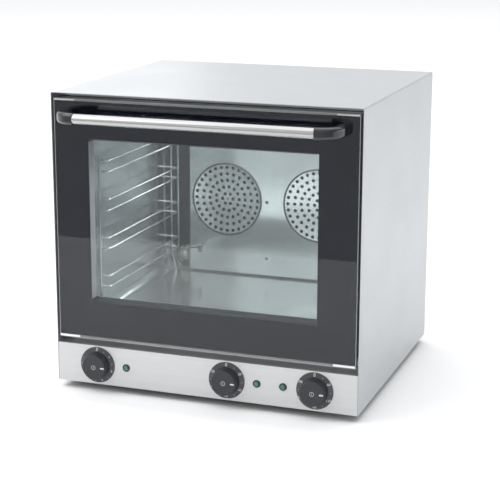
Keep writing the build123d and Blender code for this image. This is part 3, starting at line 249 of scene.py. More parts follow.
def cross_head(centre: Point, radius: float, height: float, towards: float) -> Surface:
    """Pan head of a screw with a cross recess.

    Formula: on a polar grid the head's height is its dome, height times the square root of
    1 minus the dome's share times the radius share to the fourth power, less a pit that
    follows a plus shape and fades out at its sides and ends.

    Args:
        centre: middle of the head's seat in millimetres.
        radius: head radius.
        height: head height.
        towards: FORWARDS or BACKWARDS, where the head faces.

    Returns:
        Points in metres and faces.
    """
    share = np.concatenate((np.linspace(0.0, 0.94, 20), np.array([0.97, 0.99, 1.0])))[:, None]
    angle = np.linspace(0.0, 2.0 * math.pi, COARSE_TURN, endpoint=False)[None, :]
    x, z = share * np.cos(angle), share * np.sin(angle)
    slot, fade, reach, end_fade, pit_depth, dome = 0.144, 0.048, 0.62, 0.1, 0.55, 0.75
    across_slot = np.minimum(np.abs(x), np.abs(z))
    along_slot = np.maximum(np.abs(x), np.abs(z))
    pit = np.clip((slot - across_slot) / fade, 0, 1) * np.clip((reach - along_slot) / end_fade, 0, 1)
    rise = height * (np.sqrt(1 - dome * share**4) * np.ones_like(angle) - pit_depth * pit)
    x, z = np.concatenate((x, x[-1:])), np.concatenate((z, z[-1:]))
    rise = np.concatenate((rise, np.zeros_like(rise[-1:])))
    points = np.stack(
        (centre[0] + radius * x, centre[1] + towards * rise, centre[2] + radius * z), axis=-1
    )
    seat = np.concatenate((points, np.broadcast_to(np.array(centre, float), points[-1:].shape)))
    return seat * MM, grid_faces(len(seat), COARSE_TURN, False, True).tolist()


def screw(centre: Point, head: tuple[float, float], towards: float, shaft: tuple[float, float]) -> list:
    """Cross-headed screw along Y.

    Args:
        centre: middle of the head's seat in millimetres.
        head: head radius and height.
        towards: FORWARDS or BACKWARDS, where the head faces.
        shaft: shaft radius and length.

    Returns:
        Surfaces of the head and the shaft.
    """
    radius, length = shaft
    away = -towards * length
    tip_start, tip_radius = 0.9 * away, 0.7 * radius
    profile = [(0.0, 0.0), (radius, 0.0), (radius, tip_start), (tip_radius, away), (0.0, away)]
    return [cross_head(centre, *head, towards), turned(profile, centre, COARSE_TURN // 2)]


def lettering(text: str, size: float, centre: Point, thickness: float) -> Surface:
    """Thin raised figure that faces the front.

    Args:
        text: the figure.
        size: letter size in millimetres.
        centre: middle of the figure's back face in millimetres.
        thickness: how far it stands towards the front.

    Returns:
        Points in metres and faces.
    """
    curve = bpy.data.curves.new("figure", "FONT")
    curve.body, curve.size, curve.extrude = text, size, thickness / 2
    curve.align_x, curve.align_y = "CENTER", "CENTER"
    holder = bpy.data.objects.new("figure", curve)
    bpy.context.scene.collection.objects.link(holder)
    bpy.context.view_layer.update()
    mesh = bpy.data.meshes.new_from_object(holder)
    flat = np.zeros(len(mesh.vertices) * 3)
    mesh.vertices.foreach_get("co", flat)
    flat = flat.reshape(-1, 3)
    points = np.stack((flat[:, 0], -flat[:, 2] - thickness / 2, flat[:, 1]), axis=-1) + np.array(centre)
    faces = [list(polygon.vertices) for polygon in mesh.polygons]
    bpy.data.objects.remove(holder)
    bpy.data.curves.remove(curve)
    bpy.data.meshes.remove(mesh)
    return points * MM, faces


# Shader node groups, built once each


def new_group(name: str, *masks: str) -> tuple[Tree, bpy.types.Node]:
    """Empty shader group that gives masks.

    Args:
        name: the group's name.
        masks: names of its outputs.

    Returns:
        The group and its output node.
    """
    tree = bpy.data.node_groups.new(name, "ShaderNodeTree")
    for mask in masks:
        tree.interface.new_socket(name=mask, in_out="OUTPUT", socket_type="NodeSocketFloat")
    return tree, tree.nodes.new("NodeGroupOutput")


def noise(tree: Tree, vector: Socket, scale: float, detail: float = 3.0) -> bpy.types.Node:
    """Noise texture node fed by a vector.

    Args:
        tree: tree to add it to.
        vector: coordinates.
        scale: noise scale.
        detail: octaves.

    Returns:
        The noise node.
    """
    node = tree.nodes.new("ShaderNodeTexNoise")
    node.inputs["Scale"].default_value = scale
    node.inputs["Detail"].default_value = detail
    tree.links.new(vector, node.inputs["Vector"])
    return node


def spread(tree: Tree, value: Socket, low: float, high: float) -> Socket:
    """Value stretched so that low gives 0 and high gives 1.

    Args:
        tree: tree to add the node to.
        value: what is stretched.
        low: value that gives 0.
        high: value that gives 1.

    Returns:
        The clamped result.
    """
    node = tree.nodes.new("ShaderNodeMapRange")
    node.inputs["From Min"].default_value = low
    node.inputs["From Max"].default_value = high
    tree.links.new(value, node.inputs["Value"])
    return node.outputs["Result"]


def combined(tree: Tree, operation: str, first: Socket, second: Socket) -> Socket:
    """Two values put together by a maths operation.

    Args:
        tree: tree to add the node to.
        operation: name of the operation.
        first: first value.
        second: second value.

    Returns:
        The result.
    """
    node = tree.nodes.new("ShaderNodeMath")
    node.operation = operation
    tree.links.new(first, node.inputs[0])
    tree.links.new(second, node.inputs[1])
    return node.outputs["Value"]


def stretched(tree: Tree, scale: Point) -> Socket:
    """Object coordinates scaled differently along each axis.

    Args:
        tree: tree to add the nodes to.
        scale: factor along each axis.

    Returns:
        The scaled coordinates.
    """
    where = tree.nodes.new("ShaderNodeTexCoord")
    mapping = tree.nodes.new("ShaderNodeMapping")
    mapping.inputs["Scale"].default_value = scale
    tree.links.new(where.outputs["Object"], mapping.inputs["Vector"])
    return mapping.outputs["Vector"]


def brushed_group(name: str, scale: Point) -> Tree:
    """Brushing lines: long streaks and fine ones, as a mask.

    Args:
        name: the group's name.
        scale: small along the lines, 1 across them.

    Returns:
        The group.
    """
    tree, out = new_group(name, "Lines")
    vector = stretched(tree, scale)
    fine = noise(tree, vector, scale=900.0, detail=2.0)
    broad = noise(tree, vector, scale=160.0, detail=2.0)
    blend = tree.nodes.new("ShaderNodeMix")
    blend.inputs["Factor"].default_value = 0.4
    tree.links.new(fine.outputs["Fac"], blend.inputs["A"])
    tree.links.new(broad.outputs["Fac"], blend.inputs["B"])
    tree.links.new(spread(tree, blend.outputs["Result"], low=0.3, high=0.7), out.inputs["Lines"])
    return tree


def mottle_group() -> Tree:
    """Soft patches and fine grain, as two masks.

    Returns:
        The group.
    """
    tree, out = new_group("mottle", "Patches", "Grain")
    vector = stretched(tree, (1.0, 1.0, 1.0))
    for mask, scale, detail in (("Patches", 7.0, 4.0), ("Grain", 1400.0, 2.0)):
        tones = noise(tree, vector, scale, detail)
        tree.links.new(spread(tree, tones.outputs["Fac"], low=0.3, high=0.7), out.inputs[mask])
    return tree


def wool_group() -> Tree:
    """Matted fibres: distorted noise, as a mask.

    Returns:
        The group.
    """
    tree, out = new_group("wool", "Fibres")
    vector = stretched(tree, (1.0, 1.0, 1.0))
    bent = noise(tree, vector, scale=60.0, detail=6.0)
    bent.inputs["Distortion"].default_value = 3.0
    tree.links.new(spread(tree, bent.outputs["Fac"], low=0.35, high=0.65), out.inputs["Fibres"])
    return tree


def wear_group() -> Tree:
    """Worn edges: where the bevelled normal leaves the true one, broken up by noise.

    Returns:
        The group.
    """
    tree, out = new_group("edge_wear", "Wear")
    bevel = tree.nodes.new("ShaderNodeBevel")
    bevel.samples = 4
    bevel.inputs["Radius"].default_value = 0.0009
    geometry = tree.nodes.new("ShaderNodeNewGeometry")
    dot = tree.nodes.new("ShaderNodeVectorMath")
    dot.operation = "DOT_PRODUCT"
    tree.links.new(bevel.outputs["Normal"], dot.inputs[0])
    tree.links.new(geometry.outputs["Normal"], dot.inputs[1])
    edge = spread(tree, dot.outputs["Value"], low=0.995, high=0.85)
    tones = noise(tree, stretched(tree, (1.0, 1.0, 1.0)), scale=90.0)
    patchy = spread(tree, tones.outputs["Fac"], low=0.35, high=0.6)
    tree.links.new(combined(tree, "MULTIPLY", edge, patchy), out.inputs["Wear"])
    return tree


def dust_group() -> Tree:
    """Light dust on faces that look up, as a mask.

    Returns:
        The group.
    """
    tree, out = new_group("dust", "Dust")
    geometry = tree.nodes.new("ShaderNodeNewGeometry")
    split = tree.nodes.new("ShaderNodeSeparateXYZ")
    tree.links.new(geometry.outputs["Normal"], split.inputs["Vector"])
    facing = spread(tree, split.outputs["Z"], low=0.5, high=1.0)
    tones = noise(tree, stretched(tree, (1.0, 1.0, 1.0)), scale=25.0, detail=6.0)
    patchy = spread(tree, tones.outputs["Fac"], low=0.4, high=0.75)
    tree.links.new(combined(tree, "MULTIPLY", facing, patchy), out.inputs["Dust"])
    return tree


def smudge_group() -> Tree:
    """Wiped smears on glass, as a mask.

    Returns:
        The group.
    """
    tree, out = new_group("smudge", "Smears")
    bent = noise(tree, stretched(tree, (1.0, 1.0, 2.2)), scale=5.0, detail=5.0)
    bent.inputs["Distortion"].default_value = 1.5
    tree.links.new(spread(tree, bent.outputs["Fac"], low=0.45, high=0.75), out.inputs["Smears"])
    return tree


class Texture(Enum):
    """Which group gives a finish its main pattern."""

    BRUSHED_ACROSS = "brushed_across"
    BRUSHED_ALONG = "brushed_along"
    BRUSHED_UP = "brushed_up"
    GRAIN = "grain"
    PATCHES = "patches"
    WOOL = "wool"


class Groups:
    """The shader node groups, each built when it is first asked for."""

    makers: dict[str, Callable[[], Tree]] = {
        "brushed_across": lambda: brushed_group("brushed_across", (0.012, 1.0, 1.0)),
        "brushed_along": lambda: brushed_group("brushed_along", (1.0, 0.012, 1.0)),
        "brushed_up": lambda: brushed_group("brushed_up", (1.0, 1.0, 0.012)),
        "mottle": mottle_group,
        "wool": wool_group,
        "edge_wear": wear_group,
        "dust": dust_group,
        "smudge": smudge_group,
    }
    built: dict[str, Tree] = {}

    @classmethod
    def output(cls, tree: Tree, name: str, socket: str) -> Socket:
        """Adds a group node to a material and returns one of its outputs.

        Args:
            tree: the material's tree.
            name: the group's name.
            socket: output to return.

        Returns:
            The output socket.
        """
        if name not in cls.built:
            cls.built[name] = cls.makers[name]()
        for node in tree.nodes:
            if node.type == "GROUP" and node.node_tree == cls.built[name]:
                return node.outputs[socket]
        node = tree.nodes.new("ShaderNodeGroup")
        node.node_tree = cls.built[name]
        return node.outputs[socket]


def mixed_colour(tree: Tree, factor: Socket, first: Socket | Colour, second: Colour) -> Socket:
    """Colour that goes from the first to the second as the factor rises.

    Args:
        tree: the material's tree.
        factor: mask from 0 to 1.
        first: a socket or a linear colour.
        second: linear colour.

    Returns:
        The mixed colour.
    """
    node = tree.nodes.new("ShaderNodeMix")
    node.data_type = "RGBA"
    tree.links.new(factor, node.inputs["Factor"])
    start, end, result = node.inputs[6], node.inputs[7], node.outputs[2]
    if isinstance(first, Socket):
        tree.links.new(first, start)
    else:
        start.default_value = (*first, 1.0)
    end.default_value = (*second, 1.0)
    return result


def ranged(tree: Tree, factor: Socket, low: float, high: float) -> Socket:
    """Value from low to high as the factor rises.

    Args:
        tree: the material's tree.
        factor: mask from 0 to 1.
        low: value at 0.
        high: value at 1.

    Returns:
        The value.
    """
    node = tree.nodes.new("ShaderNodeMapRange")
    node.inputs["To Min"].default_value = low
    node.inputs["To Max"].default_value = high
    tree.links.new(factor, node.inputs["Value"])
    return node.outputs["Result"]


def named_material(name: str) -> tuple[bpy.types.Material, bool]:
    """This script's material of a name, and whether it had to be made.

    Args:
        name: the material's name.

    Returns:
        The material, and True where it is new.
    """
    known = bpy.data.materials.get(name)
    if known and known.get("finish"):
        return known, False
    material = bpy.data.materials.new(name)
    material["finish"] = True
    material.use_nodes = True
    return material, True


@dataclass(frozen=True)
class Finish:
    """An opaque finish: two tones, roughness range, pattern, wear and dust."""

    name: str
    colour: Colour
    shade: Colour
    rough: tuple[float, float]
    texture: Texture
    metallic: float = 0.0
    bump: float = 0.02
    coat: float = 0.0
    wear: Colour | None = None
    dust: Colour | None = None
    soft_edge: float = 0.0
    specular: float = 0.5

    def material(self) -> bpy.types.Material:
        """The finish as a material, built once.

        Returns:
            The material.
        """
        material, is_new = named_material(self.name)
        if not is_new:
            return material
        tree = material.node_tree
        shader = tree.nodes["Principled BSDF"]
        shader.inputs["Metallic"].default_value = self.metallic
        shader.inputs["Specular IOR Level"].default_value = self.specular
        shader.inputs["Coat Weight"].default_value = self.coat
        shader.inputs["Coat Roughness"].default_value = 0.08
        pattern = self.pattern(tree)
        colour = mixed_colour(tree, pattern, self.colour, self.shade)
        patches = Groups.output(tree, "mottle", "Patches")
        if self.wear:
            colour = mixed_colour(tree, Groups.output(tree, "edge_wear", "Wear"), colour, self.wear)
        if self.dust:
            colour = mixed_colour(tree, Groups.output(tree, "dust", "Dust"), colour, self.dust)
        tree.links.new(colour, shader.inputs["Base Color"])
        tree.links.new(ranged(tree, patches, *self.rough), shader.inputs["Roughness"])
        self.relief(tree, pattern, shader)
        return material

    def pattern(self, tree: Tree) -> Socket:
        """The mask that this finish's texture gives."""
        match self.texture:
            case Texture.GRAIN:
                return Groups.output(tree, "mottle", "Grain")
            case Texture.PATCHES:
                return Groups.output(tree, "mottle", "Patches")
            case Texture.WOOL:
                return Groups.output(tree, "wool", "Fibres")
            case _:
                return Groups.output(tree, self.texture.value, "Lines")

    def relief(self, tree: Tree, pattern: Socket, shader: bpy.types.Node) -> None:
        """Adds the pattern's relief and, where wanted, rounded-looking edges.

        Args:
            tree: the material's tree.
            pattern: height mask.
            shader: the surface shader.
        """
        bump = tree.nodes.new("ShaderNodeBump")
        bump.inputs["Strength"].default_value = self.bump
        bump.inputs["Distance"].default_value = 0.001
        tree.links.new(pattern, bump.inputs["Height"])
        if self.soft_edge:
            bevel = tree.nodes.new("ShaderNodeBevel")
            bevel.samples = 6
            bevel.inputs["Radius"].default_value = self.soft_edge
            tree.links.new(bevel.outputs["Normal"], bump.inputs["Normal"])
        tree.links.new(bump.outputs["Normal"], shader.inputs["Normal"])


@dataclass(frozen=True)
class Glass:
    """Clear glass that lets light through to what lies behind it."""

    name: str
    tint: Colour
    smear: Colour
    rough: tuple[float, float] = (0.0, 0.02)
    ior: float = 1.45

    def material(self) -> bpy.types.Material:
        """The glass as a material, built once.

        Shadow and diffuse rays go straight through it, so that what lies behind stays lit.

        Returns:
            The material.
        """
        material, is_new = named_material(self.name)
        if not is_new:
            return material
        tree = material.node_tree
        shader = tree.nodes["Principled BSDF"]
        output = tree.nodes["Material Output"]
        shader.inputs["Transmission Weight"].default_value = 1.0
        shader.inputs["IOR"].default_value = self.ior
        smears = Groups.output(tree, "smudge", "Smears")
        tree.links.new(mixed_colour(tree, smears, self.tint, self.smear), shader.inputs["Base Color"])
        tree.links.new(ranged(tree, smears, *self.rough), shader.inputs["Roughness"])
        clear = tree.nodes.new("ShaderNodeBsdfTransparent")
        clear.inputs["Color"].default_value = (*self.tint, 1.0)
        path = tree.nodes.new("ShaderNodeLightPath")
        either = combined(tree, "MAXIMUM", path.outputs["Is Shadow Ray"], path.outputs["Is Diffuse Ray"])
        mix = tree.nodes.new("ShaderNodeMixShader")
        tree.links.new(either, mix.inputs["Fac"])
        tree.links.new(shader.outputs["BSDF"], mix.inputs[1])
        tree.links.new(clear.outputs["BSDF"], mix.inputs[2])
        tree.links.new(mix.outputs["Shader"], output.inputs["Surface"])
        return material


def grey(level: float, warm: float = 0.0) -> Colour:
    """Linear grey, a little warmer or cooler."""
    return (level * (1 + warm), level, level * (1 - warm))


CASING = Finish(
    "casing_steel", grey(0.515, -0.03), grey(0.485, -0.03), (0.32, 0.38),
    Texture.BRUSHED_ALONG, metallic=0.6, soft_edge=0.0006,
)
PANEL = Finish(
    "panel_steel", grey(0.59, -0.004), grey(0.555, -0.004), (0.32, 0.38),
    Texture.BRUSHED_ACROSS, metallic=0.6, soft_edge=0.0005,
)
CAVITY = Finish(
    "cavity_steel", (0.485, 0.505, 0.51), (0.42, 0.445, 0.45), (0.14, 0.22),
    Texture.PATCHES, metallic=0.88, bump=0.01,
)
BAFFLE = Finish(
    "baffle_steel", (0.78, 0.82, 0.81), (0.73, 0.77, 0.76), (0.1, 0.15),
    Texture.BRUSHED_UP, metallic=0.9, bump=0.008,
)
# Heat patina plus painted shade: the rear wall behind the baffle is made near-black so the space behind it
# reads dim.
REAR_WALL_SHADED = Finish(
    "rear_wall_patina_and_shade", (0.10, 0.105, 0.10), (0.07, 0.075, 0.07), (0.35, 0.5),
    Texture.PATCHES, metallic=0.8,
)
PLATED = Finish(
    "plated_sheet", grey(0.50, -0.02), grey(0.46, -0.02), (0.32, 0.44),
    Texture.PATCHES, metallic=0.9, dust=grey(0.5, 0.03), wear=grey(0.7),
)
DOOR_SHEET = Finish(
    "door_sheet", grey(0.36, -0.02), grey(0.31, -0.02), (0.3, 0.42),
    Texture.BRUSHED_ACROSS, metallic=0.7, wear=grey(0.45),
)
# Painted shade: the base pan is near-black, standing in for the shadow under the oven; its edges keep real
# wear.
PAN = Finish(
    "dark_pan", grey(0.035, -0.02), grey(0.028, -0.02), (0.45, 0.6),
    Texture.PATCHES, bump=0.03, wear=grey(0.12),
)
HANDLE = Finish(
    "handle_steel", grey(0.52, 0.004), grey(0.42, 0.004), (0.16, 0.24),
    Texture.BRUSHED_ACROSS, metallic=1.0,
)
TRIM = Finish(
    "trim_steel", grey(0.62, 0.004), grey(0.54, 0.004), (0.25, 0.35),
    Texture.BRUSHED_ACROSS, metallic=0.9, soft_edge=0.0004,
)
TRIM_DULL = Finish(
    "trim_dull", grey(0.26, 0.01), grey(0.19, 0.01), (0.35, 0.45),
    Texture.BRUSHED_ACROSS, metallic=0.7,
)
# Painted highlight: near-white, mostly non-metallic skins stand in for the glint on the polished trim end
# covers.
TRIM_GLINT = Finish(
    "trim_painted_glint", grey(0.86, 0.0), grey(0.80, 0.0), (0.3, 0.4),
    Texture.BRUSHED_ACROSS, metallic=0.3,
)
RACK = Finish(
    "rack_wire", grey(0.56, -0.01), grey(0.48, -0.01), (0.1, 0.17),
    Texture.PATCHES, metallic=0.95, bump=0.005,
)
SCREW = Finish(
    "screw_steel", grey(0.30, 0.0), grey(0.22, 0.0), (0.25, 0.4),
    Texture.PATCHES, metallic=1.0, wear=grey(0.5),
)
PLASTIC = Finish(
    "black_plastic", (0.010, 0.010, 0.014), (0.008, 0.008, 0.011), (0.14, 0.2),
    Texture.PATCHES, bump=0.0, wear=grey(0.03), soft_edge=0.0005, coat=0.5,
)
DIAL = Finish(
    "dial_plastic", (0.028, 0.028, 0.033), (0.020, 0.020, 0.024), (0.24, 0.32),
    Texture.PATCHES, soft_edge=0.0005, coat=0.5,
)
CAP = Finish(
    "cap_plastic", (0.023, 0.023, 0.031), (0.018, 0.018, 0.025), (0.34, 0.42),
    Texture.GRAIN, bump=0.02, soft_edge=0.0006,
)
RUBBER = Finish(
    "black_rubber", (0.016, 0.016, 0.016), (0.012, 0.012, 0.012), (0.6, 0.75),
    Texture.PATCHES, bump=0.05, dust=grey(0.04),
)
WOOL = Finish(
    "mineral_wool", (0.52, 0.46, 0.27), (0.36, 0.30, 0.16), (0.85, 0.95),
    Texture.WOOL, bump=0.9,
)
SHEATH = Finish(
    "element_sheath", (0.035, 0.034, 0.032), (0.06, 0.05, 0.04), (0.45, 0.6),
    Texture.PATCHES, metallic=0.6, bump=0.03,
)
# Painted shade: the aluminium fan wheel gets a near-black tone so it reads dim behind the guard holes.
WHEEL_SHADED = Finish(
    "wheel_aluminium", grey(0.16, -0.01), grey(0.11, -0.01), (0.35, 0.5),
    Texture.PATCHES, metallic=0.9,
)
MOTOR = Finish(
    "motor_steel", grey(0.28, -0.02), grey(0.22, -0.02), (0.35, 0.5),
    Texture.PATCHES, metallic=0.8, wear=grey(0.6),
)
SWITCH = Finish(
    "switch_plastic", (0.60, 0.57, 0.48), (0.52, 0.49, 0.41), (0.4, 0.5),
    Texture.PATCHES, bump=0.02,
)
CERAMIC = Finish(
    "terminal_ceramic", (0.80, 0.78, 0.72), (0.70, 0.67, 0.60), (0.3, 0.45),
    Texture.PATCHES, bump=0.03, coat=0.3,
)
RIM = Finish("indicator_rim", (0.006, 0.035, 0.024), (0.004, 0.024, 0.016), (0.2, 0.3), Texture.PATCHES)
LENS = Finish(
    "indicator_lens", (0.02, 0.19, 0.115), (0.01, 0.08, 0.048), (0.08, 0.14),
    Texture.PATCHES, coat=0.9,
)
PRINT = Finish(
    "black_print", (0.0055, 0.006, 0.012), (0.0045, 0.005, 0.0105), (0.4, 0.5),
    Texture.PATCHES, bump=0.0, specular=0.0,
)
SEAL = Finish("seal_strip", (0.12, 0.125, 0.13), (0.09, 0.095, 0.10), (0.5, 0.6), Texture.PATCHES)
MARKS = Finish("white_marks", grey(0.72), grey(0.64), (0.45, 0.6), Texture.PATCHES)
# Painted shade: near-black rings over the fan guards' beads stand in for the shade along them.
GUARD_SHADE = Finish(
    "guard_painted_shade", grey(0.09, -0.004), grey(0.07, -0.004), (0.4, 0.5),
    Texture.PATCHES, metallic=0.5,
)
# Real silicone beads with painted sheen: their pale grey stands in for the reflection along the window's
# sides.
BEAD_AND_SHEEN = Finish("silicone_bead_and_sheen", grey(0.34, -0.01), grey(0.29, -0.01), (0.5, 0.6), Texture.PATCHES)
ICON = Finish("grey_marks", grey(0.40), grey(0.34), (0.45, 0.6), Texture.PATCHES)
FILAMENT = Finish("bulb_frost", (0.78, 0.79, 0.78), (0.68, 0.70, 0.68), (0.2, 0.3), Texture.PATCHES)
DOOR_GLASS = Glass("door_glass", (0.86, 0.89, 0.90), (0.80, 0.84, 0.85), ior=1.4)
INNER_GLASS = Glass("inner_glass", (0.95, 0.97, 0.96), (0.9, 0.93, 0.92))
LAMP_GLASS = Glass("lamp_glass", (0.97, 0.98, 0.97), (0.9, 0.9, 0.86), rough=(0.02, 0.1))


def dress(finish: Finish | Glass, *names: str) -> None:
    """Gives CAD nodes a finish in every material slot.

    Args:
        finish: the finish.
        names: CAD node names.
    """
    for name in names:
        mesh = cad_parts[name].data
        for index in range(len(mesh.materials)):
            mesh.materials[index] = finish.material()


def add(
    piece: bpy.types.Object, finish: Finish | Glass, body: str, slot: str, *replaced: str
) -> bpy.types.Object:
    """Finishes a new piece, ties it to its body and hides the CAD nodes it stands for.

    Args:
        piece: the new object.
        finish: its finish.
        body: CAD body it rides on.
        slot: not used.
        replaced: CAD nodes it stands for.

    Returns:
        The piece.
    """
    piece.data.materials.append(finish.material())
    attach(piece, body)
    if replaced:
        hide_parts(*replaced)
    log.info("%s: %d faces", piece.name, len(piece.data.polygons))
    return piece


# Sub-assemblies


@dataclass
class Casing:
    """Outer wrap, rear cover, base, front frame, feet and what the back carries."""

    back: float = 283.25
    screw_x: float = 287.5
    screw_heights: tuple[float, ...] = (42.0, 291.0, 540.0)
    screw_head: tuple[float, float] = (4.0, 2.2)
    screw_shaft: tuple[float, float] = (2.0, 9.0)

    def build(self) -> None:
        """Dresses the casing's nodes and cuts the cover screws' crosses."""
        dress(CASING, "casing_wrap")
        dress(PLATED, "rear_cover", "compartment_shelf", "motor_plate")
        # Base pan in painted shade.
        dress(PAN, "base_pan")
        dress(CAVITY, "front_frame")
        dress(RUBBER, "feet", "cable_gland")
        dress(CERAMIC, "terminal_block")
        surfaces = []
        for x in (-self.screw_x, self.screw_x):
            for z in self.screw_heights:
                surfaces += screw((x, self.back, z), self.screw_head, BACKWARDS, self.screw_shaft)
        add(join_surfaces("cover_screw_heads", surfaces), SCREW, "oven_body", "screw_steel", "cover_screws")


@dataclass
class ControlPanel:
    """Panel strip with three dials, their knobs and the indicator lamps."""

    front: float = -241.75
    height: float = 53.5
    knob_front: float = -262.15
    knobs: dict[str, float] = field(
        default_factory=lambda: {"function": -214.0, "timer": 47.0, "thermostat": 216.5}
    )
    marks: dict[str, tuple[str, ...]] = field(
        default_factory=lambda: {
            "function": ("0", "1", "2", "3", "4", "5"),
            "timer": ("0", "20", "40", "60", "90", "120"),
            "thermostat": ("0", "60", "120", "180", "240", "300"),
        }
    )
    travel: dict[str, float] = field(
        default_factory=lambda: {"function": 270.0, "timer": 300.0, "thermostat": 300.0}
    )
    mark_ring: float = 30.8
    figure_size: float = 6.2
    first_figure: float = 1.3
    figure_rise: float = 0.12
    dial_radius: float = 35.0
    dial_rim: float = 1.2
    dial_slope: float = 3.3 / 8.0
    pointer: Point = (14.1, 21.5, 2.7)
    pointer_height: float = 0.58
    pointer_corner: float = 0.5
    icon_ring: tuple[float, float] = (4.5, 3.3)
    icon_stroke: Point = (0.5, 1.9, 0.4)
    icon_height: float = 0.14

    def build(self) -> None:
        """Dresses the panel and adds the marks on dials and caps."""
        dress(PANEL, "control_panel")
        dress(DIAL, "dial_rings")
        dress(CAP, "function_knob", "timer_knob", "thermostat_knob")
        dress(SWITCH, "function_switch", "timer_unit", "thermostat_unit")
        dress(TRIM, "function_spindle", "timer_spindle", "thermostat_spindle")
        dress(RIM, "indicator_bezels")
        dress(LENS, "indicator_lenses")
        for name, x in self.knobs.items():
            add(self.dial_marks(name, x), MARKS, "oven_body", "indicator_rim")
            add(self.cap_icon(name, x), ICON, f"{name}_knob", "black_plastic")
            add(self.cap_pointer(name, x), MARKS, f"{name}_knob", "black_plastic")

    def dial_marks(self, name: str, x: float) -> bpy.types.Object:
        """Figures around a dial, the first at the top and the rest over the knob's travel.

        They lie on the dial's cone: depth is the rim's plus the slope times the distance
        in from the dial's edge.

        Args:
            name: which dial.
            x: its middle.

        Returns:
            The marks as one object.
        """
        figures = self.marks[name]
        step = math.radians(self.travel[name]) / (len(figures) - 1)
        surfaces = []
        for index, figure in enumerate(figures):
            size = self.figure_size * (1.0 if index else self.first_figure)
            surfaces.append(lettering(figure, size, self.on_ring(x, index * step), self.figure_rise))
            if index + 1 < len(figures):
                between = self.on_ring(x, (index + 0.5) * step)
                surfaces.append(lettering("-", self.figure_size, between, self.figure_rise))
        middle, rim = np.array((x, self.height)) * MM, (self.front - self.dial_rim) * MM
        for points, _ in surfaces:
            from_middle = np.hypot(points[:, 0] - middle[0], points[:, 2] - middle[1])
            points[:, 1] += rim - (self.dial_radius * MM - from_middle) * self.dial_slope
        return join_surfaces(f"{name}_dial_marks", surfaces)

    def on_ring(self, x: float, turn: float) -> Point:
        """Place on the ring of figures, clockwise from the top."""
        return x + self.mark_ring * math.sin(turn), 0.0, self.height + self.mark_ring * math.cos(turn)

    def cap_icon(self, name: str, x: float) -> bpy.types.Object:
        """Ring with an upright stroke in the middle of a cap's face.

        Args:
            name: which knob.
            x: its middle.

        Returns:
            The icon.
        """
        outer, inner = self.icon_ring
        profile = [(outer, 0.0), (outer, -self.icon_height), (inner, -self.icon_height), (inner, 0.0)]
        points, _ = turned(profile, (x, self.knob_front, self.height), COARSE_TURN)
        ring = (points, grid_faces(len(profile), COARSE_TURN, True, True).tolist())
        depth = (self.knob_front - self.icon_height, self.knob_front)
        stroke = slab((x, self.height), self.icon_stroke, depth)
        return join_surfaces(f"{name}_cap_icon", [ring, stroke])

    def cap_pointer(self, name: str, x: float) -> bpy.types.Object:
        """White paint over the cap's raised pointer.

        Args:
            name: which knob.
            x: its middle.

        Returns:
            The paint.
        """
        inner, outer, width = self.pointer
        shape = ((outer - inner) / 2, width / 2, self.pointer_corner)
        middle = (x + (inner + outer) / 2, self.height)
        depth = (self.knob_front - self.pointer_height, self.knob_front)
        return make_object(f"{name}_cap_pointer", *slab(middle, shape, depth))


